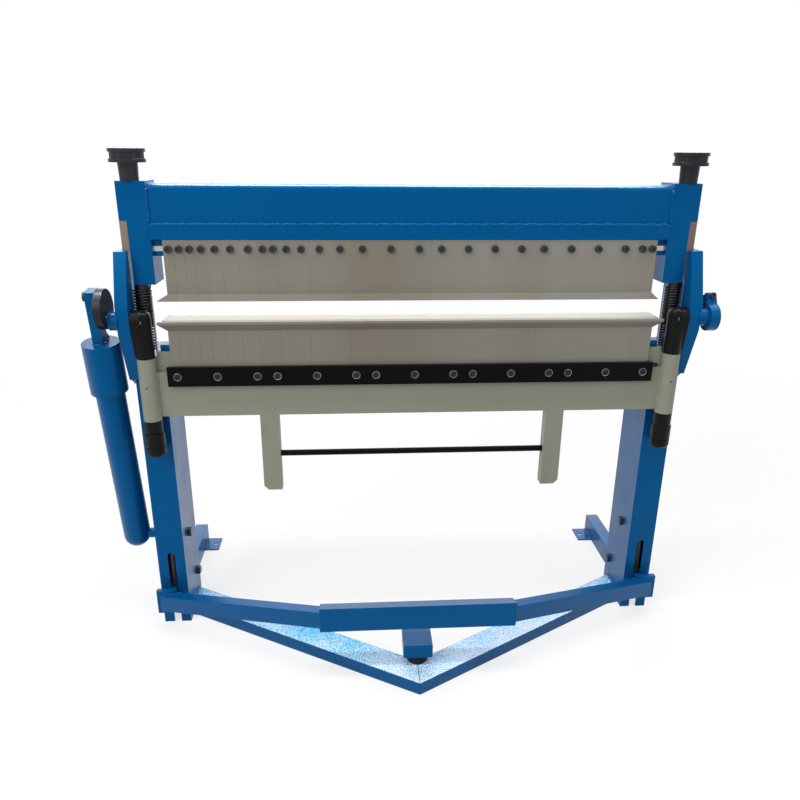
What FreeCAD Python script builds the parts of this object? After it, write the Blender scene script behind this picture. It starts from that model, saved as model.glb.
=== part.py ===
import FreeCAD, Part
import math
import os

# Box and pan brake, floor standing, clamped by foot.
# Sizes are in millimetres. X runs along the bend, Y from front to back, Z up from the floor.
# Pieces are placed from the bend line (Y = 0) and moved at the end, so that the point
# midway between the two floor bolts is the origin.

# Upper fingers from left to right: width, number of screws, pitch of the screws
FINGERS = (
    (25.0, 1, 0.0),
    (25.0, 1, 0.0),
    (25.0, 1, 0.0),
    (30.0, 1, 0.0),
    (35.0, 1, 0.0),
    (40.0, 1, 0.0),
    (45.0, 1, 0.0),
    (50.0, 2, 25.0),
    (75.0, 2, 36.0),
    (100.0, 2, 50.0),
    (200.0, 3, 70.0),
    (250.0, 4, 66.7),
    (270.0, 4, 69.0),
    (50.0, 2, 25.0),
)

# Heights, jaw and travel
BEND_Z = 900.0
JAW_GAP = 46.0
PEDAL_CLOSES = 13.0
KNOBS_CLOSE = 32.0
APRON_DROPS = 4.0

# Clearances
RUN_FIT = 0.05
HOLE_GAP = 0.5
SLIDE_GAP = 0.3
FACE_GAP = 1.0
FINGER_GAP = 0.1

# Upper fingers
TOE_SETBACK = 3.0
TOE_DEPTH = 29.0
TOE_RISE = 12.0
TOE_EDGE = 1.5
UPPER_PLATE_T = 12.0
UPPER_FINGER_H = 144.0
HORN_LEFT = 20.0
HORN_RIGHT = 7.0
SCREW_DROP = 22.0
SCREW_R = 4.0
SCREW_LENGTH = 28.0
HEAD_R = 9.0
HEAD_H = 8.0
SOCKET_R = 4.6
SOCKET_DEPTH = 4.0

# Finger rail, key strip, ledge and clamp beam
KEY_T = 2.0
KEY_H = 12.0
RAIL_D = 24.0
RAIL_H = 41.0
LEDGE_LIP = 2.0
LEDGE_D = 50.0
LEDGE_H = 33.0
BEAD = 5.0
BEAM_SETBACK = 4.0
BEAM_D = 80.0
BEAM_H = 95.0
BEAM_WALL = 8.0
BEAM_ROUND = 12.0

# End blocks, guide strips and tie rods
ROD_R = 10.0
ROD_BEHIND_POST_FRONT = 16.0
BLOCK_INNER = 39.0
BLOCK_RIM = 2.5
BLOCK_HEAD_OUT = 18.0
BLOCK_Y = 34.0
BLOCK_PROUD = 6.0
BLOCK_H = 243.0
BLOCK_HEAD_H = 91.0
GUIDE_D = 32.0
GUIDE_LIFT = 78.0
CLEVIS_W = 38.0
CLEVIS_HALF_D = 11.0
CLEVIS_TOP = 30.0
CLEVIS_BOTTOM = 15.0
CLEVIS_ROOM = 1.2

# Knobs on the tie rods
KNOB_STEM_R = 23.0
KNOB_FOOT_R = 21.5
KNOB_STEM_H = 41.0
KNOB_DISC_R = 42.0
KNOB_DISC_H = 31.0
KNOB_RIM_H = 8.0
KNOB_WAIST = 3.5
KNOB_FLUTES = 12
KNOB_FLUTE_R = 5.0
KNOB_ROOF = 3.0

# Springs under the end blocks
SPRING_R = 23.0
WIRE_R = 2.25
SPRING_PITCH = 7.5
SPRING_LEAD_IN = 9.0

# Posts, bolts and base
POST_W = 75.0
POST_D = 150.0
POST_WALL = 4.0
POST_Y = 34.0
POST_BELOW_BEND = 110.0
CAP_T = 10.0
BED_REACH = 27.5
SLOT_W = 20.0
SLOT_H = 228.0
LEG_W = 75.0
LEG_T = 36.0
LEG_ANGLE = 30.0
LEG_APEX_Y = -300.0
GUSSET_X = 35.0
FOOT_W = 40.0
FOOT_H = 60.0
FOOT_END_Y = 492.0
EAR_REACH = 46.5
EAR_T = 5.0
EAR_D = 74.0
EAR_HOLE_X = 642.0
EAR_HOLE_Y = 453.0
EAR_HOLE_R = 6.0
BOLT_R = 8.0
BOLT_HEAD_R = 13.0
BOLT_HEAD_T = 10.0

# Bed
NOSE_T = 16.0
NOSE_D = 62.0
NOSE_GAP = 0.5
NOSE_REACH = 12.0
BED_NECK_REACH = 2.0
BED_Y = 18.0
BED_NECK_H = 50.0
BED_H = 144.0
BED_T = 27.0
BED_FLANGE_D = 105.0
BED_FLANGE_T = 16.0
BED_FLANGE_Z = 80.0

# Side plates with the pivot hubs
SIDE_T = 30.0
SIDE_TOP = 164.0
SIDE_TOP_D = 15.0
SIDE_STEP = 40.0
SIDE_FRONT = 21.0
SIDE_TAPER = 30.0
SIDE_TIP_Y = 24.0
SIDE_TIP_DROP = 159.0
CHEEK_BACK = 76.0
CHEEK_DROP = 180.0
WING_T = 16.0
HUB_R = 23.0
HUB_L = 21.0
BUSH_T = 3.0

# Hinge blocks, shafts and crank
HINGE_INSET = 5.0
HINGE_R = 22.5
HINGE_EYE_R = 26.0
HINGE_DROP = 94.0
HINGE_CHEEK = 0.5
HINGE_TOP = 24.0
HINGE_ROUND = 15.0
HINGE_TOE_R = 11.0
HINGE_TOE_LIFT = 3.0
STEM_R = 12.5
STEM_L = 116.0
SET_HOLE_R = 3.0
SET_HOLE_DEPTH = 6.0
SHAFT_R = 15.0
SHAFT_INSIDE = 15.0
DISC_R = 49.0
DISC_T = 20.0
DISC_OFFSET = 30.0
DISC_GAP = 3.0
CRANK_R = 60.0

# Apron
APRON_T = 16.0
APRON_STEP = 132.0
APRON_BOTTOM = 250.0
APRON_BACK_T = 8.0
APRON_BACK_TOP = 81.0
APRON_BACK_GAP = 2.5
TUBE_R = 22.5
TUBE_BELOW = 8.0
TUBE_FLOOR = 18.0
TUBE_HOLE_R = 2.5
TUBE_HOLE_DEPTH = 5.0
TUBE_HOLE_DROP = 167.0

# Lower fingers: nose forward of the bend line, thickness at the nose and the back
LIP_D = 20.0
LIP_EDGE = 6.0
LIP_RISE = 26.0
LOWER_T = 8.0
LOWER_HEEL = 17.0
LOWER_CHAMFER = 7.0
LOWER_HORN = 20.0

# Clamp bars on the apron
BAR_COUNT = 5
BAR_OVERHANG = 10.0
BAR_T = 12.0
BAR_H = 50.0
BAR_LAP = 15.0
BAR_SCREW_INSET = 25.0
BAR_SCREW_DROP = 10.0
BAR_HEAD_R = 7.5
BAR_SINK_R = 9.0
BAR_SINK = 8.0
BAR_SCREW_L = 20.0
BAR_TAB_L = 14.0
BAR_TAB_H = 8.0

# Handles
HANDLE_X = 375.0
HANDLE_W = 48.0
HANDLE_T = 30.0
HANDLE_L = 215.0
HANDLE_CHAMFER = 12.0
GRIP_R = 8.0
GRIP_DROP = 114.0
GRIP_SINK = 20.0

# Adjusters under the apron tubes
RING_R = 23.0
RING_H = 37.0
DIAL_R = 25.5
DIAL_H = 63.0
DIAL_ROUND = 12.0
GROOVE = 2.0
STUD_R = 6.0
STUD_L = 112.0
STUD_FLANGE_R = 10.0
STUD_FLANGE_T = 4.0

# Stop collar on the right shaft
COLLAR_R = 35.0
COLLAR_T = 24.0
COLLAR_EAR = 60.0
COLLAR_EAR_D = 40.0
COLLAR_EAR_ROUND = 5.0
COLLAR_LEAN = 27.0
COLLAR_SLIT = 8.0
COLLAR_BOLT_R = 5.0
COLLAR_BOLT_HEAD_R = 8.0
COLLAR_BOLT_DROP = 11.0

# Balance cylinder on the left
ANCHOR_Y = 98.0
ANCHOR_Z = 258.0
ANCHOR_R = 14.0
LINK_T = 24.0
LINK_W = 40.0
LINK_HEAD = 16.0
LINK_FOOT = 118.0
LINK_GAP = 0.5
SLEEVE_R = 46.0
SLEEVE_L = 134.0
SLEEVE_ROOF = 10.0
CYL_R = 36.0
CYL_WALL = 5.0
CYL_LAP = 19.0
CYL_ROUND = 36.0
CYL_PLUG = 30.0
DRAW_R = 9.0
DRAW_L = 400.0
PISTON_R = 28.0
PISTON_T = 10.0
SLEEVE_SPRING_R = 29.0
SLEEVE_SPRING_BORE = 22.0
LINK_BOLT_R = 8.0
LINK_BOLT_HEAD_R = 12.0
LINK_BOLT_HEAD_T = 8.0

# Pedal
PEDAL_PIVOT_Y = 157.0
PEDAL_PIVOT_Z = 93.0
PIN_R = 6.0
PIN_RISE = 2.0
LEVER_T = 14.0
LEVER_H = 40.0
LEVER_TAIL = 15.0
BRACKET_Y = -4.0
BRACKET_T = 14.0
BRACKET_H = 72.0
BRACKET_OUT = 41.0
TREAD_HALF = 250.0
TREAD_Y = -233.0
TREAD_Z = 149.0
TREAD_H = 69.0
TREAD_D = 50.0
TREAD_SLOPE = 20.0
TREAD_WALL = 6.0
ARM_D = 30.0
ARM_H = 47.0
ARM_START_Z = 158.0
ARM_FALL = 93.0
ARM_SETBACK = 3.0
ARM_RUN_Y = 222.0
ARM_PAST_ROD = 25.0

# Stop under the tread
STOP_W = 76.0
STOP_D = 70.0
STOP_H = 38.0
BUFFER_R = 27.0
BUFFER_H = 23.0
BUFFER_Y = -205.0

# Places that follow from the sizes
HALF_BEND = sum(width for width, count, pitch in FINGERS) / 2
POST_IN = HALF_BEND + BED_REACH
POST_OUT = POST_IN + POST_W
ROD_X = POST_IN + POST_W / 2
ROD_Y = POST_Y + ROD_BEHIND_POST_FRONT
POST_TOP = BEND_Z - POST_BELOW_BEND
CAP_TOP = POST_TOP + CAP_T
PLATE_Y = TOE_SETBACK + TOE_DEPTH
PLATE_BACK = PLATE_Y + UPPER_PLATE_T
RAIL_Y = PLATE_BACK + KEY_T
TOE_Z = BEND_Z + JAW_GAP
FINGER_TOP = TOE_Z + UPPER_FINGER_H
SCREW_Z = FINGER_TOP - SCREW_DROP
LEDGE_Z = FINGER_TOP + FACE_GAP
LEDGE_TOP = LEDGE_Z + LEDGE_H
LEDGE_Y = PLATE_Y - LEDGE_LIP
BEAM_Y = PLATE_Y + BEAM_SETBACK
BEAM_TOP = LEDGE_TOP + BEAM_H
BEAM_HALF = ROD_X - BLOCK_INNER
BLOCK_OUT = ROD_X + ROD_R + HOLE_GAP + BLOCK_RIM
BLOCK_TOP = BEAM_TOP + BLOCK_PROUD
BLOCK_BACK = BEAM_Y + BEAM_D
BLOCK_Z = BLOCK_TOP - BLOCK_H
HEAD_Z = BLOCK_TOP - BLOCK_HEAD_H
HEAD_OUT = BLOCK_OUT + BLOCK_HEAD_OUT
KNOB_TOP = BLOCK_TOP + KNOB_STEM_H + KNOB_DISC_H
ROD_TOP = KNOB_TOP - KNOB_ROOF - KNOBS_CLOSE - FACE_GAP
HINGE_X = ROD_X - HINGE_INSET
SIDE_IN = HINGE_X + HINGE_R + HINGE_CHEEK + FACE_GAP
SIDE_OUT = SIDE_IN + SIDE_T
SIDE_BACK = BLOCK_Y - SLIDE_GAP
HUB_END = SIDE_OUT + HUB_L
DISC_X = HUB_END + DISC_GAP
SHAFT_END = DISC_X + DISC_T
TUBE_TOP = BEND_Z - HINGE_DROP - SLIDE_GAP
TUBE_Z = BEND_Z - APRON_BOTTOM - TUBE_BELOW
APRON_STEP_Z = BEND_Z - APRON_STEP
APRON_Z = BEND_Z - APRON_BOTTOM
BAR_L = 2 * (HALF_BEND + BAR_OVERHANG) / BAR_COUNT
BAR_SCREW_PITCH = BAR_L / 2 - BAR_SCREW_INSET
BAR_Z = APRON_STEP_Z + BAR_LAP - BAR_H
BAR_SCREW_Z = APRON_STEP_Z - BAR_SCREW_DROP
STEM_END = BEND_Z - HINGE_DROP - STEM_L
PIN_Y = ROD_Y
PIN_Z = PEDAL_PIVOT_Z + PIN_RISE
LINK_X = SHAFT_END + LINK_GAP + LINK_T / 2
NOSE_Z = BEND_Z - NOSE_T
BED_TOP = NOSE_Z - BED_NECK_H
LEG_SLOPE = math.tan(math.radians(LEG_ANGLE))
LEG_INNER_APEX = LEG_APEX_Y + LEG_W / math.cos(math.radians(LEG_ANGLE))


# Basic solids and profiles
def vec(x, y, z):
    return FreeCAD.Vector(x, y, z)


def box(x0, x1, y0, y1, z0, z1):
    return Part.makeBox(x1 - x0, y1 - y0, z1 - z0, vec(x0, y0, z0))


def rod_z(r, x, y, z0, z1):
    return Part.makeCylinder(r, z1 - z0, vec(x, y, z0), vec(0, 0, 1))


def rod_x(r, y, z, x0, x1):
    return Part.makeCylinder(r, x1 - x0, vec(x0, y, z), vec(1, 0, 0))


def rod_y(r, x, z, y0, y1):
    return Part.makeCylinder(r, y1 - y0, vec(x, y0, z), vec(0, 1, 0))


def prism_yz(points, x0, x1):
    ring = [vec(x0, y, z) for y, z in points]
    return Part.Face(Part.makePolygon(ring + ring[:1])).extrude(vec(x1 - x0, 0, 0))


def prism_xy(points, z0, z1):
    ring = [vec(x, y, z0) for x, y in points]
    return Part.Face(Part.makePolygon(ring + ring[:1])).extrude(vec(0, 0, z1 - z0))


def prism_xz(points, y0, y1):
    ring = [vec(x, y0, z) for x, z in points]
    return Part.Face(Part.makePolygon(ring + ring[:1])).extrude(vec(0, y1 - y0, 0))


def hexagon(r, axis, place, length):
    corners = [(r * math.cos(math.radians(60 * i)), r * math.sin(math.radians(60 * i))) for i in range(6)]
    if axis == "x":
        solid = prism_yz(corners, 0, length)
    else:
        solid = prism_xz(corners, 0, length)
    solid.translate(place)
    return solid


def hull_of_two(r0, y0, z0, r1, y1, z1, x0, x1):
    # two discs on X joined by their outer tangents, the second disc straight below the first
    gap = z0 - z1
    lean = math.asin((r0 - r1) / gap)
    side = math.cos(lean)
    rise = math.sin(lean)
    web = [
        (y0 - r0 * side, z0 - r0 * rise),
        (y0 + r0 * side, z0 - r0 * rise),
        (y1 + r1 * side, z1 - r1 * rise),
        (y1 - r1 * side, z1 - r1 * rise),
    ]
    return prism_yz(web, x0, x1).fuse([rod_x(r0, y0, z0, x0, x1), rod_x(r1, y1, z1, x0, x1)])


def mirrored(shape):
    return shape.mirror(vec(0, 0, 0), vec(1, 0, 0))


def both_sides(shape):
    return Part.makeCompound([mirrored(shape), shape])


def save(name, shape):
    moved = shape.copy()
    moved.translate(vec(0, -EAR_HOLE_Y, 0))
    moved.exportStep("parts/" + name + ".step")


os.makedirs("parts", exist_ok=True)


# Upper fingers: a plate with a toe that reaches forward to the bend line.
# The outer fingers carry a horn that widens the toe sideways.
def upper_finger(x0, x1, left_horn, right_horn):
    plate = box(x0, x1, PLATE_Y, PLATE_BACK, TOE_Z, FINGER_TOP)
    toe = prism_yz(
        [(TOE_SETBACK, TOE_Z), (PLATE_Y, TOE_Z), (PLATE_Y, TOE_Z + TOE_RISE), (TOE_SETBACK, TOE_Z + TOE_EDGE)],
        x0 - left_horn,
        x1 + right_horn,
    )
    plan = prism_xy(
        [(x0, PLATE_Y), (x0 - left_horn, TOE_SETBACK), (x1 + right_horn, TOE_SETBACK), (x1, PLATE_Y)],
        TOE_Z,
        TOE_Z + TOE_RISE,
    )
    return plate.fuse(toe.common(plan)).removeSplitter()


screw_xs = []
edges_x = [-HALF_BEND]
for number, (width, count, pitch) in enumerate(FINGERS):
    left = edges_x[-1]
    edges_x.append(left + width)
    horn_left = HORN_LEFT if number == 0 else 0.0
    horn_right = HORN_RIGHT if number == len(FINGERS) - 1 else 0.0
    finger = upper_finger(left + FINGER_GAP / 2, left + width - FINGER_GAP / 2, horn_left, horn_right)
    for i in range(count):
        x = left + width / 2 + (i - (count - 1) / 2) * pitch
        screw_xs.append(x)
        finger = finger.cut(rod_y(SCREW_R + HOLE_GAP, x, SCREW_Z, PLATE_Y, PLATE_BACK))
    save("upper_finger_%02d" % (number + 1), finger)

screws = []
for x in screw_xs:
    head = rod_y(HEAD_R, x, SCREW_Z, PLATE_Y - HEAD_H, PLATE_Y)
    head = head.cut(hexagon(SOCKET_R, "y", vec(x, PLATE_Y - HEAD_H, SCREW_Z), SOCKET_DEPTH))
    screws.append(head.fuse(rod_y(SCREW_R, x, SCREW_Z, PLATE_Y, PLATE_Y + SCREW_LENGTH)).removeSplitter())
save("upper_finger_screws", Part.makeCompound(screws))

# Key strip and rail behind the fingers, both drilled for the screws
key = box(-BEAM_HALF, BEAM_HALF, PLATE_BACK, RAIL_Y, SCREW_Z - KEY_H / 2, SCREW_Z + KEY_H / 2)
rail = box(-BEAM_HALF, BEAM_HALF, RAIL_Y, RAIL_Y + RAIL_D, LEDGE_Z - RAIL_H, LEDGE_Z)
for x in screw_xs:
    key = key.cut(rod_y(SCREW_R + HOLE_GAP, x, SCREW_Z, PLATE_BACK, RAIL_Y))
    rail = rail.cut(rod_y(SCREW_R + RUN_FIT, x, SCREW_Z, RAIL_Y, PLATE_Y + SCREW_LENGTH + FACE_GAP))
save("key_strip", key)
save("finger_rail", rail)

# Ledge under the beam, with the weld bead along its front
ledge_profile = [
    (LEDGE_Y, LEDGE_Z),
    (LEDGE_Y + LEDGE_D, LEDGE_Z),
    (LEDGE_Y + LEDGE_D, LEDGE_TOP),
    (BEAM_Y, LEDGE_TOP),
    (BEAM_Y, LEDGE_TOP + BEAD),
    (BEAM_Y - BEAD, LEDGE_TOP),
    (LEDGE_Y, LEDGE_TOP),
]
save("clamp_ledge", prism_yz(ledge_profile, -BEAM_HALF, BEAM_HALF))

# Clamp beam: a box section, rounded along its top edges
outer = box(-BEAM_HALF, BEAM_HALF, BEAM_Y, BEAM_Y + BEAM_D, LEDGE_TOP, BEAM_TOP)
top_edges = [e for e in outer.Edges if e.BoundBox.ZMin > BEAM_TOP - 1 and e.BoundBox.YLength < 1]
inner = box(
    -BEAM_HALF,
    BEAM_HALF,
    BEAM_Y + BEAM_WALL,
    BEAM_Y + BEAM_D - BEAM_WALL,
    LEDGE_TOP + BEAM_WALL,
    BEAM_TOP - BEAM_WALL,
)
save("clamp_beam", outer.makeFillet(BEAM_ROUND, top_edges).cut(inner))

# End blocks: a wide head closes the beam, a narrower leg comes down to the spring
block = box(BEAM_HALF, BLOCK_OUT, BLOCK_Y, BLOCK_BACK, BLOCK_Z, HEAD_Z)
block = block.fuse(box(BEAM_HALF, HEAD_OUT, BLOCK_Y, BLOCK_BACK, HEAD_Z, BLOCK_TOP))
block = block.cut(rod_z(ROD_R + HOLE_GAP, ROD_X, ROD_Y, BLOCK_Z, BLOCK_TOP)).removeSplitter()
save("end_block_right", block)
save("end_block_left", mirrored(block))

# Guide strips under the heads, on the outer sides of the legs, sliding behind the side plates
strip = box(BLOCK_OUT, HEAD_OUT, BLOCK_Y, BLOCK_Y + GUIDE_D, BLOCK_Z + GUIDE_LIFT, HEAD_Z)
save("guide_strips", both_sides(strip))

# Tie rods: from inside the knobs down through blocks, springs and posts to the pedal levers
clevis_z = PIN_Z + CLEVIS_TOP
rod = rod_z(ROD_R, ROD_X, ROD_Y, clevis_z, ROD_TOP)
clevis = box(
    ROD_X - CLEVIS_W / 2,
    ROD_X + CLEVIS_W / 2,
    ROD_Y - CLEVIS_HALF_D,
    ROD_Y + CLEVIS_HALF_D,
    PIN_Z - CLEVIS_BOTTOM,
    clevis_z,
)
lever_room = LEVER_T / 2 + 2 * FACE_GAP
clevis = clevis.cut(
    box(
        ROD_X - lever_room,
        ROD_X + lever_room,
        ROD_Y - CLEVIS_HALF_D,
        ROD_Y + CLEVIS_HALF_D,
        PIN_Z - CLEVIS_BOTTOM,
        PIN_Z + LEVER_H / 2 + 2 * FACE_GAP,
    )
)
eye_x0 = ROD_X - CLEVIS_W / 2
clevis = clevis.cut(rod_x(PIN_R + CLEVIS_ROOM, PIN_Y, PIN_Z, eye_x0, eye_x0 + CLEVIS_W))
save("tie_rods", both_sides(rod.fuse(clevis).removeSplitter()))


# Knobs: a tapered stem under a wheel with a fluted waist between two rims
def knob(side):
    x = side * ROD_X
    z = BLOCK_TOP + KNOB_STEM_H
    stem = Part.makeCone(KNOB_FOOT_R, KNOB_STEM_R, KNOB_STEM_H, vec(x, ROD_Y, BLOCK_TOP))
    waist = rod_z(KNOB_DISC_R - KNOB_WAIST, x, ROD_Y, z, KNOB_TOP)
    for i in range(KNOB_FLUTES):
        a = 2 * math.pi * i / KNOB_FLUTES
        fx = x + KNOB_DISC_R * math.cos(a)
        fy = ROD_Y + KNOB_DISC_R * math.sin(a)
        waist = waist.cut(rod_z(KNOB_FLUTE_R, fx, fy, z, KNOB_TOP))
    rim_low = rod_z(KNOB_DISC_R, x, ROD_Y, z, z + KNOB_RIM_H)
    rim_high = rod_z(KNOB_DISC_R, x, ROD_Y, KNOB_TOP - KNOB_RIM_H, KNOB_TOP)
    body = stem.fuse([waist, rim_low, rim_high])
    return body.cut(rod_z(ROD_R + RUN_FIT, x, ROD_Y, BLOCK_TOP, KNOB_TOP - KNOB_ROOF)).removeSplitter()


save("knob_left", knob(-1))
save("knob_right", knob(1))


# Clamp springs: one unbroken wire each, its ends straight and square to cap and block
def arc_pair(p0, t0, p1, t1):
    v = p1 - p0
    t = t0 + t1
    spread = 2 * (1 - t0.dot(t1))
    vt = v.dot(t)
    d = (math.sqrt(vt * vt + spread * v.dot(v)) - vt) / spread
    q0 = p0 + t0 * d
    q1 = p1 - t1 * d
    middle = (q0 + q1) * 0.5
    arcs = []
    for a, q, b in ((p0, q0, middle), (middle, q1, p1)):
        w = (q - a).normalize().dot((b - a).normalize())
        crown = (a + b + q * (2 * w)) * (1 / (2 + 2 * w))
        arcs.append(Part.Arc(a, crown, b).toShape())
    return arcs


def spring_path(x, y, z0, z1):
    mean_r = SPRING_R - WIRE_R
    tail = 2 * WIRE_R
    low = z0 + tail + SPRING_LEAD_IN
    high = z1 - tail - SPRING_LEAD_IN
    halves = 2 * round((high - low) / SPRING_PITCH) + 1
    rise = (high - low) / (halves * math.pi)

    def point(a):
        return vec(x + mean_r * math.cos(a), y + mean_r * math.sin(a), low + rise * (a - math.pi / 2))

    def slope(a):
        return vec(-mean_r * math.sin(a), mean_r * math.cos(a), rise).normalize()

    start = math.pi / 2
    end = start + halves * math.pi
    foot = vec(x + mean_r * math.cos(0), y, z0)
    head = vec(x + mean_r * math.cos(end + math.pi / 2), y + mean_r * math.sin(end + math.pi / 2), z1)
    up = vec(0, 0, 1)
    foot_end = foot + up * tail
    head_start = head - up * tail
    path = [Part.LineSegment(foot, foot_end).toShape()]
    path += arc_pair(foot_end, up, point(start), slope(start))
    for i in range(halves):
        a = start + i * math.pi
        b = a + math.pi
        path += arc_pair(point(a), slope(a), point(b), slope(b))
    path += arc_pair(point(end), slope(end), head_start, up)
    path.append(Part.LineSegment(head_start, head).toShape())
    return path


def spring(x, y, z0, z1):
    path = spring_path(x, y, z0, z1)
    mean_r = SPRING_R - WIRE_R
    ring = Part.Wire(Part.Circle(vec(x + mean_r, y, z0), vec(0, 0, 1), WIRE_R).toShape())
    shell = Part.Wire(path).makePipeShell([ring], True, False)
    points = []
    for edge in path:
        steps = max(2, int(edge.Length / 2.5))
        for i in range(steps):
            u = edge.FirstParameter + (edge.LastParameter - edge.FirstParameter) * i / steps
            points.append(edge.valueAt(u))
    apart = int(3 * WIRE_R * 2 / 2.5)
    least = min(
        (points[i] - points[j]).Length
        for i in range(len(points))
        for j in range(i + apart, len(points))
    )
    print("spring: least gap to itself %.2f mm, %d points" % (least - 2 * WIRE_R, len(points)))
    return shell


save("clamp_spring_left", spring(-ROD_X, ROD_Y, CAP_TOP, BLOCK_Z))
save("clamp_spring_right", spring(ROD_X, ROD_Y, CAP_TOP, BLOCK_Z))

# Posts: box section with a welded cap, a slot at the foot for the lever and bolt holes
post = box(POST_IN, POST_OUT, POST_Y, POST_Y + POST_D, 0, CAP_TOP)
post = post.cut(
    box(
        POST_IN + POST_WALL,
        POST_OUT - POST_WALL,
        POST_Y + POST_WALL,
        POST_Y + POST_D - POST_WALL,
        0,
        POST_TOP,
    )
)
post = post.cut(rod_z(ROD_R + HOLE_GAP, ROD_X, ROD_Y, POST_TOP, CAP_TOP))
slot_top = SLOT_H - SLOT_W / 2
post = post.cut(box(ROD_X - SLOT_W / 2, ROD_X + SLOT_W / 2, POST_Y, POST_Y + POST_WALL, 0, slot_top))
post = post.cut(rod_y(SLOT_W / 2, ROD_X, slot_top, POST_Y, POST_Y + POST_WALL))
for y, z in ((PEDAL_PIVOT_Y, PEDAL_PIVOT_Z), (ANCHOR_Y, ANCHOR_Z)):
    post = post.cut(rod_x(BOLT_R + RUN_FIT, y, z, POST_IN, POST_OUT))
save("post_right", post)
save("post_left", mirrored(post))


# Bolts across the posts: the lower pair carries the pedal, the upper left one the anchor bar
def cross_bolt(y, z, reach):
    head = hexagon(BOLT_HEAD_R, "x", vec(POST_IN - BOLT_HEAD_T, y, z), BOLT_HEAD_T)
    return head.fuse(rod_x(BOLT_R, y, z, POST_IN, POST_OUT + reach)).removeSplitter()


def nutted_bolt(y, z):
    nut = hexagon(BOLT_HEAD_R, "x", vec(POST_OUT, y, z), BOLT_HEAD_T)
    return cross_bolt(y, z, BOLT_HEAD_T).fuse(nut).removeSplitter()


anchor_thread = 2 * BOLT_R
pedal_bolt = nutted_bolt(PEDAL_PIVOT_Y, PEDAL_PIVOT_Z)
bolts = [
    mirrored(pedal_bolt),
    pedal_bolt,
    mirrored(cross_bolt(ANCHOR_Y, ANCHOR_Z, anchor_thread)),
    nutted_bolt(ANCHOR_Y, ANCHOR_Z),
]
save("post_bolts", Part.makeCompound(bolts))

anchor = rod_x(ANCHOR_R, ANCHOR_Y, ANCHOR_Z, POST_OUT, LINK_X + CYL_R - CYL_WALL)
anchor = anchor.cut(rod_x(BOLT_R + RUN_FIT, ANCHOR_Y, ANCHOR_Z, POST_OUT, POST_OUT + anchor_thread + FACE_GAP))
save("anchor_bar", mirrored(anchor))

# Base: two flat legs that meet in a point at the front and end at the posts
leg = prism_xy(
    [
        (0, LEG_APEX_Y),
        (POST_IN, LEG_APEX_Y + POST_IN * LEG_SLOPE),
        (POST_IN, LEG_INNER_APEX + POST_IN * LEG_SLOPE),
        (GUSSET_X, LEG_INNER_APEX + GUSSET_X * LEG_SLOPE),
        (0, LEG_INNER_APEX + GUSSET_X * LEG_SLOPE),
    ],
    0,
    LEG_T,
)
save("base_leg_right", leg)
save("base_leg_left", mirrored(leg))

# Rear feet with the ears for the floor bolts
foot_in = POST_OUT - FOOT_W
foot = box(foot_in, POST_OUT, POST_Y + POST_D, FOOT_END_Y, 0, FOOT_H)
ear = box(foot_in - EAR_REACH, foot_in, EAR_HOLE_Y - EAR_D / 2, EAR_HOLE_Y + EAR_D / 2, 0, EAR_T)
ear = ear.cut(rod_z(EAR_HOLE_R, EAR_HOLE_X, EAR_HOLE_Y, 0, EAR_T))
save("rear_feet", both_sides(foot.fuse(ear).removeSplitter()))

# Pedal stop: a block on a round buffer over the front point of the base
save("pedal_stop_buffer", rod_z(BUFFER_R, 0, BUFFER_Y, LEG_T, LEG_T + BUFFER_H))
stop_z = LEG_T + BUFFER_H
save("pedal_stop_block", box(-STOP_W / 2, STOP_W / 2, TREAD_Y, TREAD_Y + STOP_D, stop_z, stop_z + STOP_H))

# Bed: a standing plate between the posts with a rear flange, and a steel nose on top
bed_z = BED_TOP - BED_H
bed_back = BED_Y + BED_T
bed = box(-POST_IN, POST_IN, BED_Y, bed_back, bed_z, BED_TOP)
neck_half = HALF_BEND + BED_NECK_REACH
bed = bed.fuse(box(-neck_half, neck_half, BED_Y, bed_back, BED_TOP, NOSE_Z))
flange_z = bed_z + BED_FLANGE_Z
bed = bed.fuse(box(-POST_IN, POST_IN, bed_back, bed_back + BED_FLANGE_D, flange_z, flange_z + BED_FLANGE_T))
save("bed_beam", bed.removeSplitter())
nose_half = HALF_BEND + NOSE_REACH
save("bed_nose", box(-nose_half, nose_half, NOSE_GAP, NOSE_GAP + NOSE_D, NOSE_Z, BEND_Z))

# Side plates: in front of the posts, with a cheek along each post, a wing that stands on the
# post and closes the spring's space from outside, and the pivot hub
plate_profile = [
    (SIDE_BACK - SIDE_TOP_D, BEND_Z + SIDE_TOP),
    (SIDE_BACK, BEND_Z + SIDE_TOP),
    (SIDE_BACK, BEND_Z + SIDE_STEP),
    (POST_Y, BEND_Z + SIDE_STEP),
    (POST_Y, BEND_Z - SIDE_TIP_DROP),
    (SIDE_TIP_Y, BEND_Z - SIDE_TIP_DROP),
    (-SIDE_FRONT, BEND_Z - SIDE_TAPER),
    (-SIDE_FRONT, BEND_Z + SIDE_STEP),
]
cheek_profile = [
    (POST_Y, BEND_Z + SIDE_STEP),
    (POST_Y + CHEEK_BACK, BEND_Z - SIDE_STEP),
    (POST_Y + CHEEK_BACK, BEND_Z - SIDE_TIP_DROP),
    (POST_Y + CHEEK_BACK / 3, BEND_Z - CHEEK_DROP),
    (POST_Y, BEND_Z - SIDE_TIP_DROP),
]
side = prism_yz(plate_profile, SIDE_IN, SIDE_OUT).fuse(prism_yz(cheek_profile, POST_OUT, SIDE_OUT))
wing = box(SIDE_OUT - WING_T, SIDE_OUT, SIDE_BACK, POST_Y + POST_D, CAP_TOP, BEND_Z + SIDE_TOP)
side = side.fuse([wing, rod_x(HUB_R, 0, BEND_Z, SIDE_OUT, HUB_END)])
bush_r = SHAFT_R + RUN_FIT + BUSH_T
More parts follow.
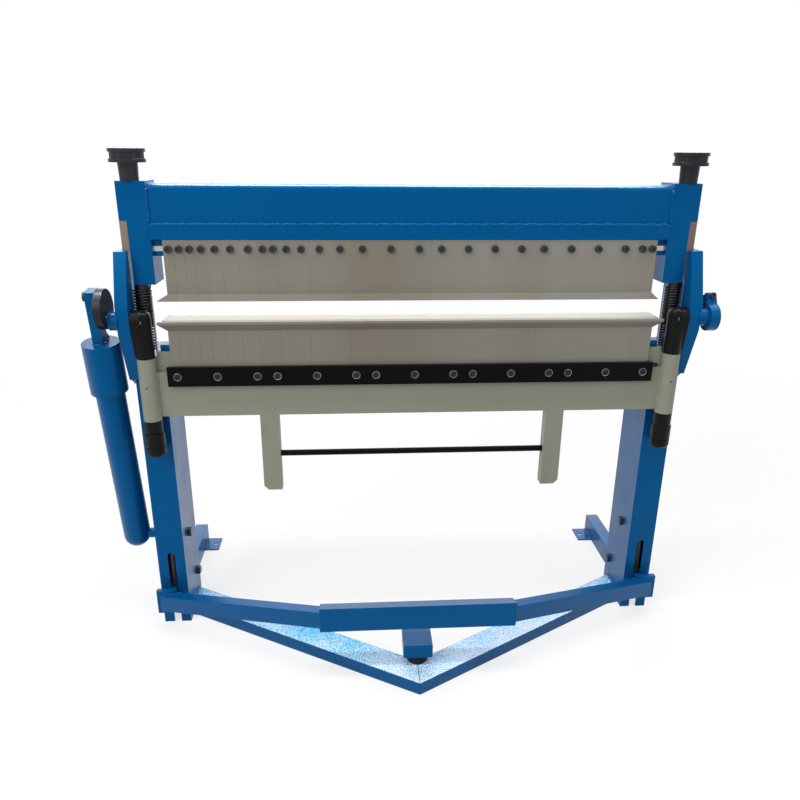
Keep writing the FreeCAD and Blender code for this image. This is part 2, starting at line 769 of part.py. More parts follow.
side = side.cut(rod_x(bush_r + RUN_FIT, 0, BEND_Z, SIDE_IN, HUB_END)).removeSplitter()
save("side_plate_right", side)
save("side_plate_left", mirrored(side))

bush = rod_x(bush_r, 0, BEND_Z, SIDE_IN, HUB_END).cut(rod_x(SHAFT_R + RUN_FIT, 0, BEND_Z, SIDE_IN, HUB_END))
save("pivot_bushes", both_sides(bush))

# Hinge blocks: a round upright with the eye of the shaft, and a stem down into the apron tube
hinge_z = BEND_Z - HINGE_DROP
upright_top = BEND_Z + HINGE_TOP
upright = rod_z(HINGE_R, HINGE_X, 0, hinge_z, upright_top)
rim = [e for e in upright.Edges if e.BoundBox.ZMin > upright_top - 1 and e.BoundBox.ZLength < 1]
upright = upright.makeFillet(HINGE_ROUND, rim)
cheek = hull_of_two(
    HINGE_EYE_R,
    0,
    BEND_Z,
    HINGE_TOE_R,
    0,
    hinge_z + HINGE_TOE_LIFT + HINGE_TOE_R,
    HINGE_X,
    HINGE_X + HINGE_R + HINGE_CHEEK,
)
stem = rod_z(STEM_R, HINGE_X, 0, STEM_END, hinge_z)
hinge = upright.fuse([cheek, stem])
hinge = hinge.cut(
    rod_x(SHAFT_R + RUN_FIT, 0, BEND_Z, HINGE_X - SHAFT_INSIDE - FACE_GAP, HINGE_X + HINGE_R + HINGE_CHEEK)
)
hinge = hinge.cut(rod_y(SET_HOLE_R, HINGE_X, BEND_Z, -HINGE_R, SET_HOLE_DEPTH - HINGE_R))
stud_top = TUBE_Z + STUD_L
hinge = hinge.cut(rod_z(STUD_R + RUN_FIT, HINGE_X, 0, STEM_END, stud_top + FACE_GAP))
save("hinge_blocks", both_sides(hinge.removeSplitter()))

save("pivot_shafts", both_sides(rod_x(SHAFT_R, 0, BEND_Z, HINGE_X - SHAFT_INSIDE, SHAFT_END)))

disc = rod_x(DISC_R, 0, BEND_Z + DISC_OFFSET, DISC_X, SHAFT_END)
disc = disc.cut(rod_x(SHAFT_R + RUN_FIT, 0, BEND_Z, DISC_X, SHAFT_END))
save("crank_disc", mirrored(disc))

# Apron: front plate, thinner back plate behind the fingers, and the end tubes.
# The back plate is welded to the tubes and passes the hinge blocks above them with a gap.
tube = rod_z(TUBE_R, HINGE_X, 0, TUBE_Z, TUBE_TOP)
apron = box(-HINGE_X, HINGE_X, 0, APRON_T, APRON_Z, APRON_STEP_Z)
back_half = HINGE_X - HINGE_R - APRON_BACK_GAP
back_y = APRON_T - APRON_BACK_T
back_top = BEND_Z - APRON_BACK_TOP
apron = apron.fuse(box(-back_half, back_half, back_y, APRON_T, APRON_STEP_Z, back_top))
apron = apron.fuse(box(-HINGE_X, HINGE_X, back_y, APRON_T, APRON_STEP_Z, TUBE_TOP))
apron = apron.fuse([tube, mirrored(tube)])
for side_sign in (-1, 1):
    x = side_sign * HINGE_X
    apron = apron.cut(rod_z(STEM_R + RUN_FIT, x, 0, TUBE_Z + TUBE_FLOOR, TUBE_TOP))
    apron = apron.cut(rod_z(STUD_R + HOLE_GAP, x, 0, TUBE_Z, TUBE_Z + TUBE_FLOOR))
    apron = apron.cut(rod_y(TUBE_HOLE_R, x, BEND_Z - TUBE_HOLE_DROP, -TUBE_R, TUBE_HOLE_DEPTH - TUBE_R))
bar_xs = [(i - (BAR_COUNT - 1) / 2) * BAR_L for i in range(BAR_COUNT)]
bar_screw_xs = [x + side_sign * BAR_SCREW_PITCH for x in bar_xs for side_sign in (-1, 0, 1)]
thread_l = BAR_SCREW_L - (BAR_T - BAR_SINK)
for x in bar_screw_xs:
    apron = apron.cut(rod_y(SCREW_R + RUN_FIT, x, BAR_SCREW_Z, 0, APRON_T))
save("apron_plate", apron.removeSplitter())

# Lower fingers on the apron step, with the lip that meets the bed at the bend line
lower_profile = [
    (-LIP_D, BEND_Z),
    (0, BEND_Z),
    (0, BEND_Z - LOWER_HEEL),
    (LOWER_T, BEND_Z - LOWER_HEEL - LOWER_CHAMFER),
    (LOWER_T, APRON_STEP_Z),
    (0, APRON_STEP_Z),
    (0, BEND_Z - LIP_RISE),
    (-LIP_D, BEND_Z - LIP_EDGE),
]
lip_profile = [
    (-LIP_D, BEND_Z),
    (0, BEND_Z),
    (0, BEND_Z - LIP_RISE),
    (-LIP_D, BEND_Z - LIP_EDGE),
]
lower = []
for number in range(len(FINGERS)):
    x0 = edges_x[number] + FINGER_GAP / 2
    x1 = edges_x[number + 1] - FINGER_GAP / 2
    piece = prism_yz(lower_profile, x0, x1)
    if number == 0:
        lip = prism_yz(lip_profile, x0 - LOWER_HORN, x0)
        plan = prism_xy([(x0, -LIP_D), (x0, 0), (x0 - LOWER_HORN, -LIP_D)], BEND_Z - LIP_RISE, BEND_Z)
        piece = piece.fuse(lip.common(plan)).removeSplitter()
    if number == len(FINGERS) - 1:
        lip = prism_yz(lip_profile, x1, x1 + LOWER_HORN)
        plan = prism_xy([(x1, -LIP_D), (x1 + LOWER_HORN, -LIP_D), (x1, 0)], BEND_Z - LIP_RISE, BEND_Z)
        piece = piece.fuse(lip.common(plan)).removeSplitter()
    lower.append(piece)
save("lower_fingers", Part.makeCompound(lower))

# Clamp bars over the feet of the lower fingers, with sunk screws into the apron
bars = []
for number, x in enumerate(bar_xs):
    half = BAR_L / 2 - FINGER_GAP / 2
    bar = box(x - half, x + half, -BAR_T, 0, BAR_Z, BAR_Z + BAR_H)
    if number == BAR_COUNT - 1:
        tab_top = BAR_Z + BAR_H - BAR_TAB_H / 2
        bar = bar.fuse(box(x + half, x + half + BAR_TAB_L, -BAR_TAB_H, 0, tab_top - BAR_TAB_H, tab_top))
    for side_sign in (-1, 0, 1):
        sx = x + side_sign * BAR_SCREW_PITCH
        bar = bar.cut(rod_y(BAR_SINK_R, sx, BAR_SCREW_Z, -BAR_T, BAR_SINK - BAR_T))
        bar = bar.cut(rod_y(SCREW_R + HOLE_GAP, sx, BAR_SCREW_Z, BAR_SINK - BAR_T, 0))
    bars.append(bar.removeSplitter())
save("clamp_bars", Part.makeCompound(bars))

bar_screws = []
for x in bar_screw_xs:
    head = rod_y(BAR_HEAD_R, x, BAR_SCREW_Z, FACE_GAP - BAR_T, BAR_SINK - BAR_T)
    head = head.cut(hexagon(SOCKET_R, "y", vec(x, FACE_GAP - BAR_T, BAR_SCREW_Z), SOCKET_DEPTH))
    shank = rod_y(SCREW_R, x, BAR_SCREW_Z, BAR_SINK - BAR_T, thread_l - FACE_GAP)
    bar_screws.append(head.fuse(shank).removeSplitter())
save("clamp_bar_screws", Part.makeCompound(bar_screws))

# Handles: two arms under the apron and a round grip between them
arm_in = HANDLE_X - HANDLE_W / 2
arm_out = HANDLE_X + HANDLE_W / 2
arm_z = APRON_Z - HANDLE_L
arm = prism_xz(
    [
        (arm_in, APRON_Z),
        (arm_in, arm_z),
        (arm_out - HANDLE_CHAMFER, arm_z),
        (arm_out, arm_z + HANDLE_CHAMFER),
        (arm_out, APRON_Z),
    ],
    0,
    HANDLE_T,
)
grip_z = APRON_Z - GRIP_DROP
arm = arm.cut(rod_x(GRIP_R + RUN_FIT, HANDLE_T / 2, grip_z, arm_in, arm_in + GRIP_SINK + FACE_GAP))
save("handle_arms", both_sides(arm))
save("grip_rod", rod_x(GRIP_R, HANDLE_T / 2, grip_z, -arm_in - GRIP_SINK, arm_in + GRIP_SINK))


# Adjusters: a ring and a dial under each apron tube, with a stud up into the hinge stem
def adjuster(side_sign):
    x = side_sign * HINGE_X
    ring_z = TUBE_Z - RING_H
    dial_z = ring_z - DIAL_H
    dial = rod_z(DIAL_R, x, 0, dial_z, ring_z)
    low_edges = [e for e in dial.Edges if e.BoundBox.ZMax < dial_z + 1 and e.BoundBox.ZLength < 1]
    dial = dial.makeFillet(DIAL_ROUND, low_edges)
    body = dial.fuse([rod_z(RING_R, x, 0, ring_z, TUBE_Z), rod_z(STUD_R, x, 0, TUBE_Z, stud_top)])
    flange_z = TUBE_Z + TUBE_FLOOR
    body = body.fuse(rod_z(STUD_FLANGE_R, x, 0, flange_z, flange_z + STUD_FLANGE_T))
    for z, r in ((ring_z + GROOVE, RING_R), (dial_z + DIAL_H * 0.4, DIAL_R)):
        groove = rod_z(r + GROOVE, x, 0, z, z + GROOVE).cut(rod_z(r - GROOVE, x, 0, z, z + GROOVE))
        body = body.cut(groove)
    return body.removeSplitter()


save("adjuster_left", adjuster(-1))
save("adjuster_right", adjuster(1))

# Stop collar on the right shaft: a split ring with an ear and its screw, built with the ear
# upright and turned back
collar_x = HUB_END + FACE_GAP
collar = rod_x(COLLAR_R, 0, BEND_Z, collar_x, collar_x + COLLAR_T)
ear_half = COLLAR_EAR_D / 2
ear_top = BEND_Z + COLLAR_EAR
ear = box(collar_x, collar_x + COLLAR_T, -ear_half, ear_half, BEND_Z, ear_top)
ear_corners = [e for e in ear.Edges if e.BoundBox.ZMin > ear_top - 1 and e.BoundBox.YLength < 1]
collar = collar.fuse(ear.makeFillet(COLLAR_EAR_ROUND, ear_corners))
collar = collar.cut(rod_x(SHAFT_R + RUN_FIT, 0, BEND_Z, collar_x, collar_x + COLLAR_T))
slit = COLLAR_SLIT / 2
collar = collar.cut(box(collar_x, collar_x + COLLAR_T, -slit, slit, BEND_Z, ear_top))
collar_mid = collar_x + COLLAR_T / 2
bolt_z = ear_top - COLLAR_BOLT_DROP
collar = collar.cut(rod_y(COLLAR_BOLT_R + RUN_FIT, collar_mid, bolt_z, -ear_half, ear_half))
collar = collar.removeSplitter()
head_h = COLLAR_BOLT_HEAD_R
collar_bolt = rod_y(COLLAR_BOLT_HEAD_R, collar_mid, bolt_z, -ear_half - head_h, -ear_half)
collar_bolt = collar_bolt.cut(
    hexagon(SOCKET_R, "y", vec(collar_mid, -ear_half - head_h, bolt_z), SOCKET_DEPTH)
)
collar_bolt = collar_bolt.fuse(rod_y(COLLAR_BOLT_R, collar_mid, bolt_z, -ear_half, ear_half))
collar_bolt = collar_bolt.removeSplitter()
for name, piece in (("stop_collar", collar), ("collar_bolt", collar_bolt)):
    piece.rotate(vec(0, 0, BEND_Z), vec(1, 0, 0), -COLLAR_LEAN)
    save(name, piece)

# Balance cylinder: built upright over the anchor, then leaned forward to the crank pin
pin_z = BEND_Z + CRANK_R
lean = math.degrees(math.atan2(ANCHOR_Y, pin_z - ANCHOR_Z))
reach = math.hypot(ANCHOR_Y, pin_z - ANCHOR_Z)


def place_balance(shape):
    leaned = shape.copy()
    leaned.rotate(vec(0, 0, 0), vec(1, 0, 0), lean)
    leaned.translate(vec(-LINK_X, ANCHOR_Y, ANCHOR_Z))
    return leaned


sleeve_top = reach - LINK_FOOT
sleeve_z = sleeve_top - SLEEVE_L
cyl_top = sleeve_z + CYL_LAP
cylinder = rod_z(CYL_R, 0, 0, 0, cyl_top).fuse(Part.makeSphere(CYL_ROUND))
cylinder = cylinder.cut(rod_z(CYL_R - CYL_WALL, 0, 0, CYL_PLUG, cyl_top - CYL_WALL))
cylinder = cylinder.cut(rod_z(DRAW_R + HOLE_GAP, 0, 0, cyl_top - CYL_WALL, cyl_top))
cylinder = cylinder.cut(rod_x(ANCHOR_R + RUN_FIT, 0, 0, -2 * CYL_R, 2 * CYL_R))
save("balance_cylinder", place_balance(cylinder.removeSplitter()))

sleeve = rod_z(SLEEVE_R, 0, 0, sleeve_z, sleeve_top)
sleeve = sleeve.cut(rod_z(CYL_R + SLIDE_GAP, 0, 0, sleeve_z, sleeve_top - SLEEVE_ROOF))
piston_z = sleeve_top - SLEEVE_ROOF - DRAW_L
sleeve = sleeve.fuse(rod_z(DRAW_R, 0, 0, piston_z, sleeve_top - SLEEVE_ROOF))
sleeve = sleeve.fuse(rod_z(PISTON_R, 0, 0, piston_z - PISTON_T, piston_z))
bar = box(-LINK_T / 2, LINK_T / 2, -LINK_W / 2, LINK_W / 2, sleeve_top, reach + LINK_HEAD)
bar = bar.cut(rod_x(LINK_BOLT_R + RUN_FIT, 0, reach, -LINK_T / 2, LINK_T / 2))
brace = prism_yz(
    [(LINK_W / 2, sleeve_top), (SLEEVE_R - HEAD_R, sleeve_top), (LINK_W / 2, sleeve_top + LINK_W / 2)],
    -LINK_T / 2,
    LINK_T / 2,
)
save("balance_sleeve", place_balance(sleeve.fuse([bar, brace]).removeSplitter()))

inner_spring = rod_z(SLEEVE_SPRING_R, 0, 0, piston_z, cyl_top - CYL_WALL)
inner_spring = inner_spring.cut(rod_z(SLEEVE_SPRING_BORE, 0, 0, piston_z, cyl_top - CYL_WALL))
save("balance_spring", place_balance(inner_spring))

pin_bolt = rod_x(LINK_BOLT_HEAD_R, 0, reach, -LINK_T / 2 - LINK_BOLT_HEAD_T, -LINK_T / 2)
pin_bolt = pin_bolt.fuse(rod_x(LINK_BOLT_R, 0, reach, -LINK_T / 2, LINK_T / 2))
save("crank_bolt", place_balance(pin_bolt.removeSplitter()))


# Pedal: a folded tread with end plates, and an arm from each end back and out to its bracket
def tread_line(y, drop):
    return TREAD_Z + TREAD_H - drop - (y - TREAD_Y) * math.tan(math.radians(TREAD_SLOPE))


tread_back = TREAD_Y + TREAD_D * math.cos(math.radians(TREAD_SLOPE))
shell_profile = [
    (TREAD_Y, TREAD_Z),
    (TREAD_Y, TREAD_Z + TREAD_H),
    (tread_back, tread_line(tread_back, 0)),
    (tread_back, TREAD_Z),
]
room_y = TREAD_Y + TREAD_WALL
room_drop = TREAD_WALL / math.cos(math.radians(TREAD_SLOPE))
room_profile = [
    (room_y, TREAD_Z),
    (room_y, tread_line(room_y, room_drop)),
    (tread_back, tread_line(tread_back, room_drop)),
    (tread_back, TREAD_Z),
]
tread = prism_yz(shell_profile, -TREAD_HALF, TREAD_HALF)
tread = tread.cut(prism_yz(room_profile, TREAD_WALL - TREAD_HALF, TREAD_HALF - TREAD_WALL))
bracket_out = ROD_X + BRACKET_OUT
arm_y = TREAD_Y + ARM_SETBACK
arm_run = (bracket_out - TREAD_HALF) / (ROD_X + ARM_PAST_ROD - TREAD_HALF)
corners = [
    vec(TREAD_HALF, arm_y, ARM_START_Z),
    vec(TREAD_HALF, arm_y + ARM_D, ARM_START_Z),
    vec(TREAD_HALF, arm_y + ARM_D, ARM_START_Z + ARM_H),
    vec(TREAD_HALF, arm_y, ARM_START_Z + ARM_H),
]
face = Part.Face(Part.makePolygon(corners + corners[:1]))
pedal_arm = face.extrude(vec(bracket_out - TREAD_HALF, ARM_RUN_Y * arm_run, -ARM_FALL * arm_run))
pedal_arm = pedal_arm.cut(box(TREAD_HALF, 2 * bracket_out, BRACKET_Y, POST_Y + POST_D, 0, BEND_Z))
save("pedal_frame", tread.fuse([pedal_arm, mirrored(pedal_arm)]).removeSplitter())

# Levers: from the bracket through the slot in the post to the pivot bolt, with the rod pin
lever_in = ROD_X - LEVER_T / 2
lever_out = ROD_X + LEVER_T / 2
bracket_z = PEDAL_PIVOT_Z - BRACKET_H / 2
bracket_back = BRACKET_Y + BRACKET_T
bracket = box(lever_in, bracket_out, BRACKET_Y, bracket_back, bracket_z, bracket_z + BRACKET_H)
lever_z = PEDAL_PIVOT_Z - LEVER_H / 2
lever_end = PEDAL_PIVOT_Y + LEVER_TAIL
lever = box(lever_in, lever_out, bracket_back, lever_end, lever_z, lever_z + LEVER_H)
pin = rod_x(PIN_R, PIN_Y, PIN_Z, ROD_X - CLEVIS_W / 2, ROD_X + CLEVIS_W / 2)
lever = lever.fuse([bracket, pin])
lever = lever.cut(rod_x(BOLT_R + RUN_FIT, PEDAL_PIVOT_Y, PEDAL_PIVOT_Z, lever_in, lever_out))
save("pedal_levers", both_sides(lever.removeSplitter()))
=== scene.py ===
import math

import bmesh
import bpy
from mathutils import Matrix, Vector


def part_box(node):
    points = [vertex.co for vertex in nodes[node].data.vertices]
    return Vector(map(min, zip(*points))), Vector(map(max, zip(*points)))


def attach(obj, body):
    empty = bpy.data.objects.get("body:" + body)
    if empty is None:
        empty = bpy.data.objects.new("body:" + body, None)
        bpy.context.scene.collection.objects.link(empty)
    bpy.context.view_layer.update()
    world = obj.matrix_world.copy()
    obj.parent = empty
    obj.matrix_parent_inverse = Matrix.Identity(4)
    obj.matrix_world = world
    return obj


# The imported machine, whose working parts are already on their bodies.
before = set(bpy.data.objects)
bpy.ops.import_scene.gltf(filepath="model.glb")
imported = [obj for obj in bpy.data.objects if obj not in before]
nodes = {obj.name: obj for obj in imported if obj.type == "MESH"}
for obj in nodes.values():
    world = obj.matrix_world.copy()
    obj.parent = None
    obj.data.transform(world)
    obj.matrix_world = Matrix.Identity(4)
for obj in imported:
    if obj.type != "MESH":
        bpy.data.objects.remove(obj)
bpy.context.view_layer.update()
scene = bpy.context.scene
scene.view_settings.view_transform = "Standard"

# The photographer's view: a short lens a little above the clamp beam and left of the middle.
# It looks down at the machine, and its place and angles are those of the photograph.
EYE = Vector((-0.1522, -2.1784, 1.3019))
YAW = -0.0668
PITCH = 0.3424
ROLL = -0.0082
LENS_MM = 31.81
FILM_MM = 36.0
FAR = 60.0
forward = Vector((-math.sin(YAW) * math.cos(PITCH), math.cos(YAW) * math.cos(PITCH), -math.sin(PITCH)))
level = Vector((math.cos(YAW), math.sin(YAW), 0))
down = -level.cross(forward)
picture_right = level * math.cos(ROLL) + down * math.sin(ROLL)
picture_down = down * math.cos(ROLL) - level * math.sin(ROLL)
camera_data = bpy.data.cameras.new("camera")
camera_data.sensor_width = FILM_MM
camera_data.lens = LENS_MM
camera_data.clip_end = FAR
camera = bpy.data.objects.new("camera", camera_data)
scene.collection.objects.link(camera)
facing = Matrix((picture_right, -picture_down, -forward)).transposed().to_4x4()
camera.matrix_world = Matrix.Translation(EYE) @ facing
scene.camera = camera


# Base legs: two flat bars of mild steel laid on the floor and mitred where they meet in a point.
# They are sprayed with the frame's blue enamel. Their tops carry overspray speckle, and its pale and
# bright blue colours are a painted sheen for the light that the top faces catch.
def add(tree, kind, **values):
    node = tree.nodes.new(kind)
    for key, value in values.items():
        if key in node.bl_rna.properties:
            setattr(node, key, value)
        else:
            node.inputs[key.replace("_", " ")].default_value = value
    return node


def effect(name, inputs, outputs):
    tree = bpy.data.node_groups.new(name, "ShaderNodeTree")
    kinds = {float: "NodeSocketFloat", tuple: "NodeSocketColor"}
    for label, value in inputs.items():
        kind = "NodeSocketVector" if label == "Stretch" else kinds[type(value)]
        socket = tree.interface.new_socket(label, in_out="INPUT", socket_type=kind)
        socket.default_value = value
    for label, kind in outputs.items():
        tree.interface.new_socket(label, in_out="OUTPUT", socket_type=kind)
    return tree, tree.nodes.new("NodeGroupInput").outputs, tree.nodes.new("NodeGroupOutput").inputs


def span(tree, source, low, high, to_low=0.0, to_high=1.0):
    node = add(tree, "ShaderNodeMapRange", From_Min=low, From_Max=high, To_Min=to_low, To_Max=to_high)
    tree.links.new(source, node.inputs["Value"])
    return node.outputs["Result"]


def combine(tree, operation, a, b):
    node = add(tree, "ShaderNodeMath", operation=operation)
    for socket, value in zip(node.inputs, (a, b)):
        if isinstance(value, float):
            socket.default_value = value
        else:
            tree.links.new(value, socket)
    return node.outputs[0]


def cloud(tree, scale, detail=2.0, stretch=None):
    place = add(tree, "ShaderNodeTexCoord").outputs["Object"]
    if stretch is not None:
        drawn = add(tree, "ShaderNodeVectorMath", operation="MULTIPLY")
        tree.links.new(place, drawn.inputs[0])
        tree.links.new(stretch, drawn.inputs[1])
        place = drawn.outputs["Vector"]
    node = add(tree, "ShaderNodeTexNoise", Detail=detail)
    tree.links.new(place, node.inputs["Vector"])
    if isinstance(scale, float):
        node.inputs["Scale"].default_value = scale
    else:
        tree.links.new(scale, node.inputs["Scale"])
    return node.outputs["Fac"]


def blend_colours(tree, factor, a, b, blend_type="MIX"):
    node = add(tree, "ShaderNodeMix", data_type="RGBA", blend_type=blend_type)
    for label, value in (("Factor", factor), ("A", a), ("B", b)):
        socket = next(s for s in node.inputs if s.name == label and s.enabled)
        if isinstance(value, (float, tuple)):
            socket.default_value = value
        else:
            tree.links.new(value, socket)
    return next(s for s in node.outputs if s.enabled)


def enamel_skin():
    # orange peel, a slow drift in shade, dust in the gloss and rubbed corners
    tree, given, out = effect(
        "enamel skin",
        {
            "Colour": (0.5, 0.5, 0.5, 1.0),
            "Rubbed Colour": (0.1, 0.1, 0.1, 1.0),
            "Rubbing": 0.5,
            "Shade Drift": 0.06,
            "Peel Scale": 420.0,
            "Roughness": 0.3,
        },
        {"Colour": "NodeSocketColor", "Roughness": "NodeSocketFloat", "Height": "NodeSocketFloat"},
    )
    shade = add(tree, "ShaderNodeMapRange")
    tree.links.new(cloud(tree, scale=3.2, detail=3.0), shade.inputs["Value"])
    tree.links.new(combine(tree, "SUBTRACT", 1.0, given["Shade Drift"]), shade.inputs["To Min"])
    tree.links.new(combine(tree, "ADD", 1.0, given["Shade Drift"]), shade.inputs["To Max"])
    tinted = blend_colours(tree, 1.0, given["Colour"], shade.outputs["Result"], "MULTIPLY")
    pointiness = add(tree, "ShaderNodeNewGeometry").outputs["Pointiness"]
    corner = span(tree, pointiness, low=0.57, high=0.68)
    broken = span(tree, cloud(tree, scale=26.0, detail=4.0), low=0.5, high=0.68)
    rubbed = combine(tree, "MULTIPLY", combine(tree, "MULTIPLY", corner, broken), given["Rubbing"])
    tree.links.new(blend_colours(tree, rubbed, tinted, given["Rubbed Colour"]), out["Colour"])
    dust = span(tree, cloud(tree, scale=9.0, detail=5.0), low=0.3, high=0.8, to_low=0.0, to_high=0.14)
    tree.links.new(combine(tree, "ADD", given["Roughness"], dust), out["Roughness"])
    tree.links.new(cloud(tree, given["Peel Scale"], detail=1.0), out["Height"])
    return tree


ENAMEL_SKIN = enamel_skin()


def coated(name, skin, bump_depth, values, specular, tint=1.0, metallic=0.0):
    material = bpy.data.materials.new(name)
    material.use_nodes = True
    tree = material.node_tree
    shader = tree.nodes["Principled BSDF"]
    layer = add(tree, "ShaderNodeGroup")
    layer.node_tree = skin
    for label, value in values.items():
        layer.inputs[label].default_value = value
    bump = add(tree, "ShaderNodeBump", Strength=bump_depth, Distance=0.001)
    tree.links.new(layer.outputs["Height"], bump.inputs["Height"])
    tree.links.new(layer.outputs["Colour"], shader.inputs["Base Color"])
    tree.links.new(layer.outputs["Roughness"], shader.inputs["Roughness"])
    tree.links.new(bump.outputs["Normal"], shader.inputs["Normal"])
    shader.inputs["Specular IOR Level"].default_value = specular
    sheen = tint if isinstance(tint, tuple) else (tint, tint, tint, 1.0)
    shader.inputs["Specular Tint"].default_value = sheen
    shader.inputs["Metallic"].default_value = metallic
    return material


BLUE = (0.0, 0.073, 0.215, 1.0)
BLUE_RUBBED = (0.0, 0.03, 0.12, 1.0)
BLUE_SHEEN = (0.06, 0.4, 1.0, 1.0)
BLUE_VALUES = {"Colour": BLUE, "Rubbed Colour": BLUE_RUBBED, "Roughness": 0.24}
BLUE_GLOSS = {"values": BLUE_VALUES, "specular": 0.5, "tint": BLUE_SHEEN}
blue_enamel = coated("blue enamel", ENAMEL_SKIN, bump_depth=0.05, **BLUE_GLOSS)

# the overspray is thickest on the left bar and along the inner edges, and thins in streaks; its pale and
# bright blue colours, laid on the up-facing tops only, are a painted sheen
PAINTED_SHEEN_PALE = (0.80, 0.86, 0.95, 1.0)
PAINTED_SHEEN_BLUE = (0.01, 0.46, 0.76, 1.0)
LEG_W = 0.075
LEG_ANGLE = math.radians(30)
leg_low, leg_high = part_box("base_leg_right")
sheen_painted_enamel = coated("blue enamel with painted top sheen", ENAMEL_SKIN, bump_depth=0.25, **BLUE_GLOSS)
tree = sheen_painted_enamel.node_tree
shader = tree.nodes["Principled BSDF"]
plain_blue = shader.inputs["Base Color"].links[0].from_socket
place = add(tree, "ShaderNodeTexCoord").outputs["Object"]
sideways = add(tree, "ShaderNodeSeparateXYZ")
tree.links.new(place, sideways.inputs["Vector"])
mirrored = add(tree, "ShaderNodeVectorMath", operation="ABSOLUTE")
tree.links.new(place, mirrored.inputs[0])
across = add(tree, "ShaderNodeVectorMath", operation="DOT_PRODUCT")
tree.links.new(mirrored.outputs["Vector"], across.inputs[0])
across.inputs[1].default_value = (-math.sin(LEG_ANGLE), -math.cos(LEG_ANGLE), 0.0)
streaks = add(tree, "ShaderNodeTexNoise", noise_dimensions="1D", Scale=160.0, Detail=1.0)
tree.links.new(across.outputs["Value"], streaks.inputs["W"])
outer_edge = leg_low.y * math.cos(LEG_ANGLE)
inner_edge = outer_edge + LEG_W
patches = span(tree, cloud(tree, scale=7.0), low=0.3, high=0.7, to_low=0.88, to_high=1.12)
grain = combine(tree, "MULTIPLY", patches, cloud(tree, scale=300.0, detail=3.0))
for source, low, high, to_low, to_high in (
    (sideways.outputs["X"], -0.28, -0.04, -0.065, 0.03),
    (across.outputs["Value"], outer_edge, inner_edge, 0.02, -0.035),
    (streaks.outputs["Fac"], 0.3, 0.7, -0.025, 0.025),
):
    grain = combine(tree, "ADD", grain, span(tree, source, low, high, to_low, to_high))
# pale and bright blue speckle, a painted sheen of light on the tops
painted_sheen_speckle = blend_colours(tree, span(tree, grain, low=0.40, high=0.54), PAINTED_SHEEN_BLUE, PAINTED_SHEEN_PALE)
facing_up = add(tree, "ShaderNodeSeparateXYZ")
tree.links.new(add(tree, "ShaderNodeNewGeometry").outputs["Normal"], facing_up.inputs["Vector"])
# only faces that point up get the painted sheen; the sides keep the plain blue
painted_sheen_on_tops = span(tree, facing_up.outputs["Z"], low=0.7, high=0.95)
tree.links.new(blend_colours(tree, painted_sheen_on_tops, plain_blue, painted_sheen_speckle), shader.inputs["Base Color"])

JOIN_WITHIN = 0.00002
FLAT_WITHIN = math.radians(0.3)
SHARP_OVER = math.radians(35)


def dress(names, material, edge=0.0, steps=2):
    # a coat of the material, and every sharp edge broken by a small rounding
    for name in names:
        node = nodes[name]
        node.data.materials.clear()
        node.data.materials.append(material)
        if edge:
            node.modifiers.new("join", "WELD").merge_threshold = JOIN_WITHIN
            flats = node.modifiers.new("flats", "DECIMATE")
            flats.decimate_type = "DISSOLVE"
            flats.angle_limit = FLAT_WITHIN
            rounding = node.modifiers.new("rounding", "BEVEL")
            rounding.width = edge
            rounding.segments = steps
            rounding.limit_method = "ANGLE"
            rounding.angle_limit = SHARP_OVER
            rounding.use_clamp_overlap = True
            node.modifiers.new("shading", "WEIGHTED_NORMAL").keep_sharp = False


dress(["base_leg_left", "base_leg_right"], sheen_painted_enamel, edge=0.0015)


# Weld beads: rows of small overlapping ripples of filler metal, laid by hand along each seam.
# They are painted over with the frame. Each seam is a line between two points, or a ring.
BEAD_STEP = 0.0014
BEAD_SIDES = 8
RIPPLE_LENGTH = 0.0042
RIPPLE_RISE = 0.13
BROAD_WAVE, BROAD_WAVE_RATE = 0.10, 310
SHORT_WAVE, SHORT_WAVE_RATE = 0.07, 747
SWAY, SWAY_RATE = 0.14, 170
END_FLATNESS = 0.04


def bead_line(start, end):
    start = Vector(start)
    end = Vector(end)
    count = max(4, round((end - start).length / BEAD_STEP))
    return [start.lerp(end, i / count) for i in range(count + 1)]


def bridge_loops(mesh, loops):
    for a, b in zip(loops, loops[1:]):
        for k in range(len(a)):
            n = (k + 1) % len(a)
            mesh.faces.new((a[k], a[n], b[n], b[k]))


def lay_bead(mesh, path, radius, seed):
    length = 0.0
    total = sum((b - a).length for a, b in zip(path, path[1:]))
    rings = []
    for i, point in enumerate(path):
        along = (path[min(i + 1, len(path) - 1)] - path[max(i - 1, 0)]).normalized()
        across = along.orthogonal() if i == 0 else across - along * across.dot(along)
        across.normalize()
        third = along.cross(across)
        if i:
            length += (point - path[i - 1]).length
        end_taper = min(1.0, math.sqrt(max(END_FLATNESS, min(length, total - length) / radius)))
        ripple = 1 + RIPPLE_RISE * abs(math.sin(math.pi * length / RIPPLE_LENGTH + seed))
        broad = BROAD_WAVE * math.sin(length * BROAD_WAVE_RATE + seed * 2.1)
        short = SHORT_WAVE * math.sin(length * SHORT_WAVE_RATE + seed * 4.3)
        sway = radius * SWAY * math.sin(length * SWAY_RATE + seed * 1.7)
        r = radius * ripple * (1 + broad + short) * end_taper
        ring = []
        for k in range(BEAD_SIDES):
            angle = 2 * math.pi * k / BEAD_SIDES
            offset = across * (math.cos(angle) * r + sway) + third * math.sin(angle) * r
            ring.append(mesh.verts.new(point + offset))
        rings.append(ring)
    bridge_loops(mesh, rings)
    mesh.faces.new(list(reversed(rings[0])))
    mesh.faces.new(rings[-1])


